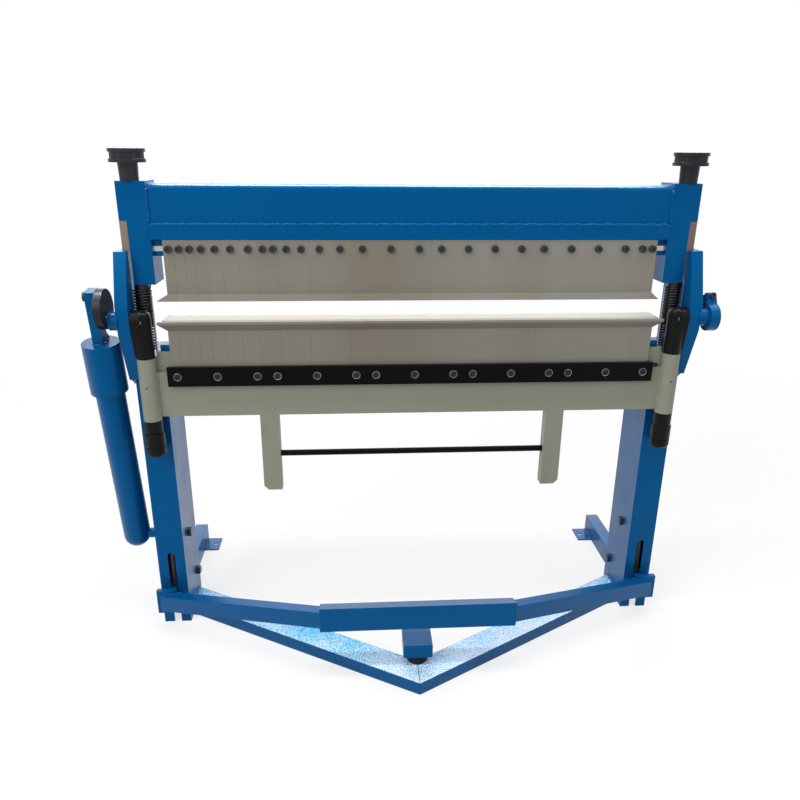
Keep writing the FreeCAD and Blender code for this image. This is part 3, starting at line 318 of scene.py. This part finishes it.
def fit_piece(name, mesh, material, body, smooth=True):
    bmesh.ops.recalc_face_normals(mesh, faces=mesh.faces)
    data = bpy.data.meshes.new(name)
    mesh.to_mesh(data)
    mesh.free()
    for face in data.polygons:
        face.use_smooth = smooth
    data.materials.append(material)
    piece = bpy.data.objects.new(name, data)
    scene.collection.objects.link(piece)
    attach(piece, body)


def weld_beads(name, body, seams, material):
    mesh = bmesh.new()
    for i, (path, radius) in enumerate(seams):
        lay_bead(mesh, path, radius, seed=0.7 + 1.9 * i)
    fit_piece(name, mesh, material, body)


def both_sides(path):
    return [path, [Vector((-p.x, p.y, p.z)) for p in path]]


def beads(paths, radius):
    return [(path, radius) for path in paths]


post_low, post_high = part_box("post_right")
LEG_BEAD = 0.0045
LEG_W_AT_POST = 0.0866
leg_rear = Vector((post_low.x, leg_high.y, leg_high.z))
leg_front = Vector((post_low.x, leg_high.y - LEG_W_AT_POST, leg_high.z))
leg_seams = beads(both_sides(bead_line(leg_front, leg_rear)), LEG_BEAD)
weld_beads("weld_base_legs", "frame", leg_seams, blue_enamel)

# Posts: two box sections with a cap plate welded on, and a slot at the foot of each front wall.
# The seam of the cap runs round each post, a little proud of the tube.
CAP_SEAM_DROP = 0.010
CAP_SEAM_START = 0.014
CAP_BEAD = 0.0018
POST_EDGE = 0.003
dress(["post_left", "post_right"], blue_enamel, edge=POST_EDGE, steps=3)
seam_z = post_high.z - CAP_SEAM_DROP
cap_corners = [
    (post_low.x, post_low.y + CAP_SEAM_START, seam_z),
    (post_low.x, post_high.y - POST_EDGE, seam_z),
    (post_low.x + POST_EDGE, post_high.y, seam_z),
    (post_high.x - POST_EDGE, post_high.y, seam_z),
]
cap_seams = []
for a, b in ((0, 1), (2, 3)):
    cap_seams += both_sides(bead_line(cap_corners[a], cap_corners[b]))
weld_beads("weld_post_caps", "frame", beads(cap_seams, CAP_BEAD), blue_enamel)

# Rear feet: square bar behind each post, with a thin drilled ear for the floor bolt.
# Bar and ear are welded, the bar to the post's back and the ear to the bar.
dress(["rear_feet"], blue_enamel, edge=0.0012)
FOOT_W = 0.040
FOOT_BEAD = 0.0035
FOOT_SEAM_LIFT = 0.003
EAR_T = 0.005
EAR_D = 0.074
EAR_BEAD = 0.0022
foot_in = post_high.x - FOOT_W
foot_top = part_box("rear_feet")[1].z
foot_corner = (foot_in, post_high.y, foot_top)
foot_seams = both_sides(bead_line(foot_corner, (post_high.x, post_high.y, foot_top)))
foot_seams += both_sides(bead_line((foot_in, post_high.y, FOOT_SEAM_LIFT), foot_corner))
ear_seams = both_sides(bead_line((foot_in, -EAR_D / 2, EAR_T), (foot_in, EAR_D / 2, EAR_T)))
seams = beads(foot_seams, FOOT_BEAD) + beads(ear_seams, EAR_BEAD)
weld_beads("weld_rear_feet", "frame", seams, blue_enamel)

# Bed: a standing plate between the posts with a flat flange behind it, welded at both ends.
# The flange is stitched to the plate with short beads, and the nose on top is ground steel.
dress(["bed_beam"], blue_enamel, edge=0.0015)
bed_low, bed_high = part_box("bed_beam")
BED_T = 0.027
FLANGE_LIFT = 0.080
FLANGE_T = 0.016
BED_BEAD = 0.0035
STITCHES = 7
STITCH_SPACES = 7.4
STITCH = 0.060
bed_back = bed_low.y + BED_T
flange_bottom = bed_low.z + FLANGE_LIFT
flange_top = bed_low.z + FLANGE_LIFT + FLANGE_T
bed_corner = (post_low.x, bed_back, flange_top)
bed_seams = both_sides(bead_line((post_low.x, bed_back, bed_low.z), (post_low.x, bed_back, flange_bottom)))
bed_seams += both_sides(bead_line(bed_corner, (post_low.x, bed_high.y, flange_top)))
for i in range(STITCHES):
    x = (i - (STITCHES - 1) / 2) * 2 * bed_high.x / STITCH_SPACES
    stitch_ends = [(x + end * STITCH / 2, bed_back, flange_top) for end in (-1, 1)]
    bed_seams.append(bead_line(*stitch_ends))
weld_beads("weld_bed", "frame", beads(bed_seams, BED_BEAD), blue_enamel)


def cut_steel():
    # fine lines left by the tool, drawn along one direction, under broad soft bands of tone
    tree, given, out = effect(
        "cut steel",
        {
            "Colour": (0.4, 0.4, 0.4, 1.0),
            "Band Colour": (0.3, 0.3, 0.3, 1.0),
            "Stretch": (1.0, 1.0, 1.0),
            "Line Scale": 300.0,
            "Band Scale": 4.0,
            "Roughness": 0.35,
        },
        {"Colour": "NodeSocketColor", "Roughness": "NodeSocketFloat", "Height": "NodeSocketFloat"},
    )
    lines = cloud(tree, given["Line Scale"], stretch=given["Stretch"])
    bands = cloud(tree, given["Band Scale"], stretch=given["Stretch"])
    bands = span(tree, bands, low=0.35, high=0.65)
    tree.links.new(blend_colours(tree, bands, given["Colour"], given["Band Colour"]), out["Colour"])
    spread = span(tree, lines, low=0.0, high=1.0, to_low=-0.06, to_high=0.1)
    tree.links.new(combine(tree, "ADD", given["Roughness"], spread), out["Roughness"])
    tree.links.new(lines, out["Height"])
    return tree


CUT_STEEL = cut_steel()
ALONG_X = (0.04, 1.0, 1.0)
ALONG_Z = (1.0, 1.0, 0.04)


def steel(name, colour, band, stretch, roughness, metallic=1.0, bump=0.04, band_scale=4.0, tint=1.0):
    values = {
        "Colour": (*colour, 1.0),
        "Band Colour": (*band, 1.0),
        "Stretch": stretch,
        "Band Scale": band_scale,
        "Roughness": roughness,
    }
    return coated(name, CUT_STEEL, bump, values, specular=0.4, tint=tint, metallic=metallic)


NOSE_TONES = ((0.36, 0.33, 0.30), (0.28, 0.255, 0.235))
KEY_TONES = ((0.62, 0.58, 0.52), (0.5, 0.46, 0.41))
ground_steel = steel("ground steel", *NOSE_TONES, ALONG_X, roughness=0.4, metallic=0.8)
key_steel = steel("bright key steel", *KEY_TONES, ALONG_X, roughness=0.3, metallic=0.7)
dress(["bed_nose"], ground_steel, edge=0.0008)
dress(["key_strip"], key_steel, edge=0.0004)

# Side plates: flame-cut plate in front of each post with a cheek beside it, both welded on.
# A turned hub for the pivot shaft is welded to the outside and pressed full of a bronze bush.
dress(["side_plate_left", "side_plate_right"], blue_enamel, edge=0.0018)
side_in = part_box("side_plate_right")[0].x
shaft_low, shaft_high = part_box("pivot_shafts")
BEND_Y = (shaft_low.y + shaft_high.y) / 2
BEND_Z = (shaft_low.z + shaft_high.z) / 2
SIDE_T = 0.030
SIDE_BEAD = 0.0035
WING_T = 0.016
WING_SEAM_INSET = 0.004
CHEEK_D = 0.076
HUB_R = 0.023
TIP_DROP = 0.159
HUB_SEAM_STEPS = 96
cheek_back = post_low.y + CHEEK_D
side_out = side_in + SIDE_T
wing_in = side_out - WING_T
wing_front = post_low.y + WING_SEAM_INSET
tip_z = BEND_Z - TIP_DROP
cheek_top = (post_high.x, cheek_back, post_high.z)
side_seams = []
for start, end in (
    ((post_high.x, cheek_back, tip_z), cheek_top),
    ((wing_in, wing_front, post_high.z), (wing_in, post_high.y, post_high.z)),
    (cheek_top, (post_high.x, post_high.y, post_high.z)),
    ((side_in, post_low.y, tip_z), (side_in, post_low.y, post_high.z)),
):
    side_seams += both_sides(bead_line(start, end))
hub_ring = []
for i in range(HUB_SEAM_STEPS + 1):
    angle = 2 * math.pi * i / HUB_SEAM_STEPS
    y = BEND_Y + HUB_R * math.cos(angle)
    z = BEND_Z + HUB_R * math.sin(angle)
    hub_ring.append(Vector((side_out, y, z)))
side_seams += both_sides(hub_ring)
weld_beads("weld_side_plates", "frame", beads(side_seams, SIDE_BEAD), blue_enamel)
BRONZE_TONES = ((0.45, 0.28, 0.12), (0.32, 0.19, 0.08))
oily_bronze = steel("oily bronze", *BRONZE_TONES, ALONG_X, roughness=0.38)
dress(["pivot_bushes"], oily_bronze, edge=0.0004)

# Pivot shafts, crank disc and stop collar: turned steel shafts, a blackened disc keyed off centre.
# The collar on the right is split, closed by a socket screw and painted with the frame.
SHAFT_TONES = ((0.42, 0.40, 0.38), (0.34, 0.31, 0.29))
DISC_TONES = ((0.020, 0.024, 0.030), (0.010, 0.014, 0.020))
SCREW_TONES = ((0.020, 0.020, 0.022), (0.035, 0.034, 0.036))
bare_steel = steel("turned steel", *SHAFT_TONES, ALONG_X, roughness=0.34)
black_oxide = steel("black oxide", *DISC_TONES, ALONG_Z, roughness=0.32, metallic=0.5, tint=0.5)
oiled_screw = steel("oiled black screw", *SCREW_TONES, ALONG_X, roughness=0.32, metallic=0.5)
dress(["pivot_shafts"], bare_steel, edge=0.0015)
dress(["crank_disc"], black_oxide, edge=0.0015, steps=3)
dress(["stop_collar"], blue_enamel, edge=0.0015, steps=3)
dress(["collar_bolt", "crank_bolt", "post_bolts"], oiled_screw, edge=0.0009)

# Tie rods and clamp springs: drawn rods through each end block, with a coil of black wire round
# each one that lifts the beam again. The wire is oil-blackened and catches a light on each curl.
ROD_TONES = ((0.05, 0.048, 0.046), (0.03, 0.028, 0.027))
WIRE_TONES = ((0.008, 0.008, 0.010), (0.014, 0.014, 0.016))
oiled_rod = steel("oiled rod", *ROD_TONES, ALONG_Z, roughness=0.4, metallic=0.6)
spring_wire = steel("oil-black wire", *WIRE_TONES, ALONG_X, roughness=0.22, metallic=0.3)
dress(["tie_rods"], oiled_rod, edge=0.0008)
dress(["clamp_spring_left", "clamp_spring_right", "balance_spring"], spring_wire)

# Spring guides: a black tube under each end block, round the tie rod and inside the spring.
# It moves with the beam and keeps the coils from leaning against the rod.
GUIDE_TUBE_R = 0.0175
GUIDE_TUBE_WALL = 0.003
GUIDE_TUBE_L = 0.110
GUIDE_TUBE_CHAMFER = 0.001
GUIDE_TUBE_STEPS = 48
spring_low, spring_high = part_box("clamp_spring_right")
block_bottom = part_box("end_block_right")[0].z
tube_bottom = block_bottom - GUIDE_TUBE_L
tube_bore = GUIDE_TUBE_R - GUIDE_TUBE_WALL
rod_x = (spring_low.x + spring_high.x) / 2
rod_y = (spring_low.y + spring_high.y) / 2
for label, guide_x in (("left", -rod_x), ("right", rod_x)):
    mesh = bmesh.new()
    loops = []
    for r, z in (
        (tube_bore, block_bottom),
        (GUIDE_TUBE_R, block_bottom),
        (GUIDE_TUBE_R, tube_bottom + GUIDE_TUBE_CHAMFER),
        (GUIDE_TUBE_R - GUIDE_TUBE_CHAMFER, tube_bottom),
        (tube_bore, tube_bottom),
    ):
        loop = []
        for k in range(GUIDE_TUBE_STEPS):
            angle = 2 * math.pi * k / GUIDE_TUBE_STEPS
            x = guide_x + r * math.cos(angle)
            y = rod_y + r * math.sin(angle)
            loop.append(mesh.verts.new((x, y, z)))
        loops.append(loop)
    bridge_loops(mesh, loops + loops[:1])
    fit_piece("spring_guide_" + label, mesh, spring_wire, "clamp", smooth=False)

# Clamp beam: a rolled box section on a flat ledge bar, closed at both ends by solid blocks.
# A wide hand-laid bead joins beam and ledge along the whole front, and shines where it ripples.
dress(["clamp_beam", "clamp_ledge", "finger_rail"], blue_enamel, edge=0.0015)
dress(["end_block_left", "end_block_right"], blue_enamel, edge=0.0015)
beam_low, beam_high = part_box("clamp_beam")
LEDGE_D = 0.050
SEAM_INSET = 0.001
BEAM_CORNER = 0.010
END_SEAM_LIFT = 0.006
FRONT_BEAD = 0.0052
REAR_BEAD = 0.004
TOP_END_BEAD = 0.0028
FRONT_END_BEAD = 0.0032
front_y = beam_low.y - SEAM_INSET
rear_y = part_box("clamp_ledge")[0].y + LEDGE_D
front_seam, rear_seam = [
    bead_line((beam_low.x, y, z), (beam_high.x, y, z))
    for y, z in ((front_y, beam_low.z + SEAM_INSET), (rear_y, beam_low.z - SEAM_INSET))
]
top_ends = both_sides(
    bead_line(
        (beam_high.x, beam_low.y + BEAM_CORNER, beam_high.z),
        (beam_high.x, beam_high.y - BEAM_CORNER, beam_high.z),
    )
)
front_ends = both_sides(
    bead_line(
        (beam_high.x, beam_low.y, beam_low.z + END_SEAM_LIFT),
        (beam_high.x, beam_low.y, beam_high.z - BEAM_CORNER),
    )
)
seams = [(front_seam, FRONT_BEAD), (rear_seam, REAR_BEAD)]
seams += beads(top_ends, TOP_END_BEAD) + beads(front_ends, FRONT_END_BEAD)
weld_beads("weld_clamp_beam", "clamp", seams, blue_enamel)

# Guide strips: flat bars on the outer sides of the end blocks that slide behind the side plates.
# They are bare, browned and rubbed by the sliding.
GUIDE_TONES = ((0.22, 0.165, 0.14), (0.15, 0.115, 0.10))
worn_guide = steel("browned guide steel", *GUIDE_TONES, ALONG_Z, roughness=0.45, metallic=0.3)
dress(["guide_strips"], worn_guide, edge=0.0008)

# Upper and lower fingers: ground tool steel plates, each with a toe that reaches to the bend line.
# They are bare, so that sheet slides on them, and each plate came off the grinder a little different.
FINGER_WARM = (0.20, 0.178, 0.14)
FINGER_GREY = (0.235, 0.228, 0.20)
FINGER_FINISH = {"roughness": 0.46, "metallic": 0.25, "bump": 0.03, "band_scale": 3.0}
FINGER_EDGE = 0.0003
FINGER_COUNT = 14
DARKEST = 0.97
SHADE_RANGE = 0.06
for i in range(FINGER_COUNT):
    # seven shades, dealt out so that neighbours differ
    shade = DARKEST + SHADE_RANGE * ((i * 5) % 7) / 6
    warm = tuple(c * shade for c in FINGER_WARM)
    number = "%02d" % (i + 1)
    finger_steel = steel("finger steel " + number, warm, FINGER_GREY, ALONG_Z, **FINGER_FINISH)
    dress(["upper_finger_" + number], finger_steel, FINGER_EDGE)
lower_steel = steel("lower finger steel", FINGER_WARM, FINGER_GREY, ALONG_Z, **FINGER_FINISH)
dress(["lower_fingers"], lower_steel, FINGER_EDGE)

# Finger and clamp bar screws: oiled black socket screws. The finger screws stand proud in one row.
# The clamp bar's are sunk in counterbores.
dress(["upper_finger_screws", "clamp_bar_screws"], oiled_screw, edge=0.0009)

# Knobs: turned hand wheels on the tie rods, fluted for the grip and chemically blackened.
# Their rims shine grey where hands and the lathe left them smooth.
KNOB_TONES = ((0.026, 0.030, 0.036), (0.017, 0.020, 0.024))
gunmetal = steel("gunmetal", *KNOB_TONES, ALONG_Z, roughness=0.28, metallic=0.5, tint=0.6)
dress(["knob_left", "knob_right"], gunmetal, edge=0.0012, steps=3)

# Hinge blocks and adjusters: machined steel that carries the apron, painted satin black.
# A set screw sits in a small hole in each block's front, inside a thin bright rim.
BLACK_VALUES = {
    "Colour": (0.006, 0.0065, 0.0062, 1.0),
    "Rubbed Colour": (0.04, 0.04, 0.04, 1.0),
    "Roughness": 0.34,
    "Rubbing": 0.7,
    "Shade Drift": 0.2,
}
black_paint = coated("satin black paint", ENAMEL_SKIN, 0.05, BLACK_VALUES, specular=0.3, tint=0.25)
dress(["hinge_blocks"], black_paint, edge=0.002, steps=3)
dress(["adjuster_left", "adjuster_right"], black_paint, edge=0.0015, steps=3)

RIM_TONES = ((0.42, 0.42, 0.41), (0.2, 0.2, 0.2))
RIM_FINISH = {"roughness": 0.3, "metallic": 0.6, "bump": 0.0, "band_scale": 60.0}
EVENLY = (1.0, 1.0, 1.0)
rim_steel = steel("bright rim", *RIM_TONES, EVENLY, **RIM_FINISH)
RIM_STEPS = 32
RIM_BORE_DEPTH = 0.0008
RIM_FOOT_DEPTH = 0.0002
RIM_INNER_RISE = 0.4


def bright_rims(name, body, centres, inner, outer, proud, wrap_r=0.0):
    # thin chamfered rings lying on a front face; wrap_r bends them round an upright cylinder
    mesh = bmesh.new()
    profile = (
        (inner, -RIM_BORE_DEPTH),
        (inner, proud * RIM_INNER_RISE),
        ((inner + outer) / 2, proud),
        (outer, -RIM_FOOT_DEPTH),
    )
    for centre in centres:
        loops = []
        for r, out in profile:
            loop = []
            for k in range(RIM_STEPS):
                angle = 2 * math.pi * k / RIM_STEPS
                x = r * math.cos(angle)
                bend = wrap_r - math.sqrt(wrap_r * wrap_r - x * x) if wrap_r else 0.0
                loop.append(mesh.verts.new(centre + Vector((x, bend - out, r * math.sin(angle)))))
            loops.append(loop)
        bridge_loops(mesh, loops)
    fit_piece(name, mesh, rim_steel, body)


HINGE_R = 0.0225
HINGE_OUTER_GAP = 0.0005
SET_HOLE_R = 0.003
SET_RIM_R = 0.0042
hinge_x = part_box("hinge_blocks")[1].x - HINGE_R - HINGE_OUTER_GAP
hinge_holes = [Vector((s * hinge_x, BEND_Y - HINGE_R, BEND_Z)) for s in (-1, 1)]
bright_rims("set_hole_rims", "hinge", hinge_holes, SET_HOLE_R, SET_RIM_R, proud=0.0004, wrap_r=HINGE_R)

# Apron: a thick front plate with a thinner plate behind the fingers, welded between two tubes.
# All of it and the handle arms are sprayed in a warm grey-green machine paint.
GREY_VALUES = {
    "Colour": (0.235, 0.240, 0.185, 1.0),
    "Rubbed Colour": (0.12, 0.12, 0.10, 1.0),
    "Roughness": 0.4,
    "Shade Drift": 0.08,
}
grey_paint = coated("grey-green machine paint", ENAMEL_SKIN, 0.05, GREY_VALUES, specular=0.3)
dress(["apron_plate"], grey_paint, edge=0.0012)
TUBE_R = 0.0225
TUBE_BEAD = 0.0038
TUBE_BEAD_INSET = 0.001
TUBE_BEAD_LIFT = 0.003
APRON_STEP_DROP = 0.132
APRON_BOTTOM_DROP = 0.250
tube_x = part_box("apron_plate")[1].x - TUBE_R
fillet_x = tube_x - TUBE_R + TUBE_BEAD_INSET
fillet_bottom = (fillet_x, BEND_Y, BEND_Z - APRON_BOTTOM_DROP + TUBE_BEAD_LIFT)
fillet_top = (fillet_x, BEND_Y, BEND_Z - APRON_STEP_DROP)
fillets = beads(both_sides(bead_line(fillet_bottom, fillet_top)), TUBE_BEAD)
weld_beads("weld_apron_tubes", "apron", fillets, grey_paint)

# Clamp bars: five flat black bars over the feet of the lower fingers, three sunk screws in each.
# Each counterbore has a thin turned rim, and its pale grey is a painted highlight for the shine on the
# counterbore's edge.
BAR_BLACK = (0.0035, 0.0035, 0.0035, 1.0)
BAR_RUBBED = (0.09, 0.085, 0.075, 1.0)
BAR_VALUES = {**BLACK_VALUES, "Colour": BAR_BLACK, "Rubbed Colour": BAR_RUBBED}
bar_paint = coated("clamp bar black", ENAMEL_SKIN, 0.05, BAR_VALUES, specular=0.3, tint=0.12)
dress(["clamp_bars"], bar_paint, edge=0.0012)
bar_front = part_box("clamp_bars")[0].y
BAR_COUNT = 5
BAR_L = 0.248
BAR_SCREW_PITCH = 0.099
BAR_SCREW_DROP = 0.010
SINK_R = 0.009
SINK_RIM_R = 0.0102
bar_screw_z = BEND_Z - APRON_STEP_DROP - BAR_SCREW_DROP
sinks = []
for i in range(BAR_COUNT):
    for j in (-1, 0, 1):
        x = (i - (BAR_COUNT - 1) / 2) * BAR_L + j * BAR_SCREW_PITCH
        sinks.append(Vector((x, bar_front, bar_screw_z)))
# the pale rims on the counterbores are painted highlights
bright_rims("counterbore_highlight_rims", "apron", sinks, SINK_R, SINK_RIM_R, proud=0.0003)

# Handles: two flat arms welded under the apron, with a round black grip rod between them.
# The rod is pressed into the arms.
dress(["handle_arms"], grey_paint, edge=0.002, steps=3)
dress(["grip_rod"], bar_paint, edge=0.001)
arm_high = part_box("handle_arms")[1]
ARM_W = 0.048
ARM_BEAD = 0.0035
APRON_T = 0.016
apron_back = BEND_Y + APRON_T
arm_ends = [(x, apron_back, arm_high.z) for x in (arm_high.x - ARM_W, arm_high.x)]
arm_seams = beads(both_sides(bead_line(*arm_ends)), ARM_BEAD)
weld_beads("weld_handle_arms", "apron", arm_seams, grey_paint)

# Balance cylinder: a lower tube on its anchor bar and an upper tube that slides over it.
# A flat link with a brace is welded on the upper tube's roof and hangs on the crank's pin.
dress(["balance_cylinder", "balance_sleeve"], blue_enamel, edge=0.002, steps=3)
dress(["anchor_bar"], blue_enamel, edge=0.0015)
anchor_low, anchor_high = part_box("anchor_bar")
bolt_low, bolt_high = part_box("crank_bolt")
ANCHOR_Y = (anchor_low.y + anchor_high.y) / 2
ANCHOR_Z = (anchor_low.z + anchor_high.z) / 2
PIN_Z = (bolt_low.z + bolt_high.z) / 2
LINK_W = 0.040
LINK_T = 0.024
LINK_BEAD = 0.0032
LINK_FOOT = 0.118
link_x = bolt_high.x - LINK_T / 2
pin = Vector((link_x, BEND_Y, PIN_Z))
axis = (pin - Vector((link_x, ANCHOR_Y, ANCHOR_Z))).normalized()
side = Vector((1, 0, 0))
front = side.cross(axis)
roof = pin - axis * LINK_FOOT
foot_corners = [
    roof + side * (sx * LINK_T / 2) + front * (sy * LINK_W / 2)
    for sx, sy in ((-1, -1), (1, -1), (1, 1), (-1, 1))
]
link_seams = [bead_line(a, b) for a, b in zip(foot_corners, foot_corners[1:] + foot_corners[:1])]
weld_beads("weld_link", "balance_sleeve", beads(link_seams, LINK_BEAD), blue_enamel)

# Pedal: a tread folded from plate with a bar at each end, running back and out to its bracket.
# The bars are welded to the tread and to brackets on the levers that pass into the posts.
dress(["pedal_frame", "pedal_levers"], blue_enamel, edge=0.002, steps=3)
lever_low, lever_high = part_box("pedal_levers")
PEDAL_BEAD = 0.0026
TREAD_HALF = 0.250
TREAD_LAP = 0.003
ARM_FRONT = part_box("pedal_frame")[0].y + TREAD_LAP
ARM_D = 0.030
ARM_TOP = 0.205
ARM_UNDER = 0.158
ARM_SLOPE_Y = 222.0 / 450.0
ARM_SLOPE_Z = -93.0 / 450.0
bracket_y = lever_low.y
back_x = TREAD_HALF + (bracket_y - ARM_FRONT - ARM_D) / ARM_SLOPE_Y
front_x = min(TREAD_HALF + (bracket_y - ARM_FRONT) / ARM_SLOPE_Y, lever_high.x)


def arm_top(x):
    return ARM_TOP + (x - TREAD_HALF) * ARM_SLOPE_Z


bracket_ends = [(x, bracket_y, arm_top(x)) for x in (back_x, front_x)]
tread_ends = [(TREAD_HALF, ARM_FRONT, z) for z in (ARM_UNDER, ARM_TOP)]
pedal_seams = both_sides(bead_line(*bracket_ends)) + both_sides(bead_line(*tread_ends))
weld_beads("weld_pedal", "pedal", beads(pedal_seams, PEDAL_BEAD), blue_enamel)

# Pedal stop: a painted block on a moulded rubber buffer over the point of the base.
# The tread's underside lands on it.
dress(["pedal_stop_block"], blue_enamel, edge=0.002, steps=3)
RUBBER_VALUES = {
    "Colour": (0.006, 0.008, 0.022, 1.0),
    "Rubbed Colour": (0.02, 0.02, 0.03, 1.0),
    "Roughness": 0.6,
    "Peel Scale": 900.0,
    "Rubbing": 0.3,
}
buffer_rubber = coated("buffer rubber", ENAMEL_SKIN, 0.1, RUBBER_VALUES, specular=0.2)
dress(["pedal_stop_buffer"], buffer_rubber, edge=0.003, steps=3)

# Studio: a pale floor under broad soft lamps above, at both sides and behind the machine.
# The floor keeps a faint shadow and fades to plain white away from it.
FLOOR_HALF = 12.0
FADE_FROM = 1.2
FADE_TO = 3.2
SHADOW_KEPT = 0.30
FLOOR_DROP = 0.0005
LIT_TONE = (0.7, 0.7, 0.7, 1)
SEEN_TONE = (0.95, 0.95, 0.95, 1)
WHITE = (1, 1, 1, 1)


def seen_directly(tree):
    ray = add(tree, "ShaderNodeLightPath")
    seen = combine(tree, "MAXIMUM", ray.outputs["Is Camera Ray"], ray.outputs["Is Glossy Ray"])
    return combine(tree, "MAXIMUM", seen, ray.outputs["Is Transmission Ray"])


floor_mesh = bpy.data.meshes.new("floor")
sheet = bmesh.new()
bmesh.ops.create_grid(sheet, x_segments=1, y_segments=1, size=FLOOR_HALF)
sheet.to_mesh(floor_mesh)
sheet.free()
floor = bpy.data.objects.new("floor", floor_mesh)
floor.location = (0, 0, -FLOOR_DROP)
scene.collection.objects.link(floor)
floor_material = bpy.data.materials.new("pale floor")
floor_material.use_nodes = True
tree = floor_material.node_tree
floor_shader = tree.nodes["Principled BSDF"]
floor_shader.inputs["Roughness"].default_value = 0.9
floor_shader.inputs["Specular IOR Level"].default_value = 0.0
glow = add(tree, "ShaderNodeEmission", Strength=1.0)
distance = add(tree, "ShaderNodeVectorMath", operation="LENGTH")
tree.links.new(add(tree, "ShaderNodeTexCoord").outputs["Object"], distance.inputs[0])
whiteness = span(tree, distance.outputs["Value"], FADE_FROM, FADE_TO, 1 - SHADOW_KEPT, 1.0)
seen = seen_directly(tree)
floor_tone = blend_colours(tree, seen, LIT_TONE, SEEN_TONE)
tree.links.new(floor_tone, floor_shader.inputs["Base Color"])
mixed = add(tree, "ShaderNodeMixShader")
tree.links.new(combine(tree, "MULTIPLY", seen, whiteness), mixed.inputs[0])
tree.links.new(floor_shader.outputs[0], mixed.inputs[1])
tree.links.new(glow.outputs[0], mixed.inputs[2])
tree.links.new(mixed.outputs[0], tree.nodes["Material Output"].inputs["Surface"])
floor.data.materials.append(floor_material)

world = bpy.data.worlds.new("studio")
scene.world = world
world.use_nodes = True
tree = world.node_tree
background = tree.nodes["Background"]
background.inputs["Color"].default_value = WHITE
background.inputs["Strength"].default_value = 0.5
white = add(tree, "ShaderNodeBackground", Color=WHITE, Strength=1.0)
mixed = add(tree, "ShaderNodeMixShader")
tree.links.new(seen_directly(tree), mixed.inputs[0])
tree.links.new(background.outputs[0], mixed.inputs[1])
tree.links.new(white.outputs[0], mixed.inputs[2])
tree.links.new(mixed.outputs[0], tree.nodes["World Output"].inputs["Surface"])

AIM = Vector((0, -0.4, 0.8))
LAMPS = (
    ("key", (-2.9, -3.2, 3.3), 2.6, 2.6, 100.0),
    ("fill", (3.2, -2.4, 2.4), 2.6, 2.6, 8.0),
    ("back", (0.0, 4.2, 2.9), 5.5, 2.6, 95.0),
    ("tube", (0.0, -0.9, 3.2), 4.0, 0.25, 45.0),
    ("gleam", (0.0, 0.2, 3.6), 3.0, 0.5, 700.0),
)
for name, place, width, height, watts in LAMPS:
    lamp = bpy.data.lights.new(name, "AREA")
    lamp.shape = "RECTANGLE"
    lamp.size = width
    lamp.size_y = height
    lamp.energy = watts
    lamp_object = bpy.data.objects.new(name, lamp)
    lamp_object.location = place
    lamp_object.rotation_euler = (AIM - Vector(place)).to_track_quat("-Z", "Y").to_euler()
    scene.collection.objects.link(lamp_object)
    # the gleam is a bright skylight that shows in gloss only
    lamp_object.visible_diffuse = name != "gleam"
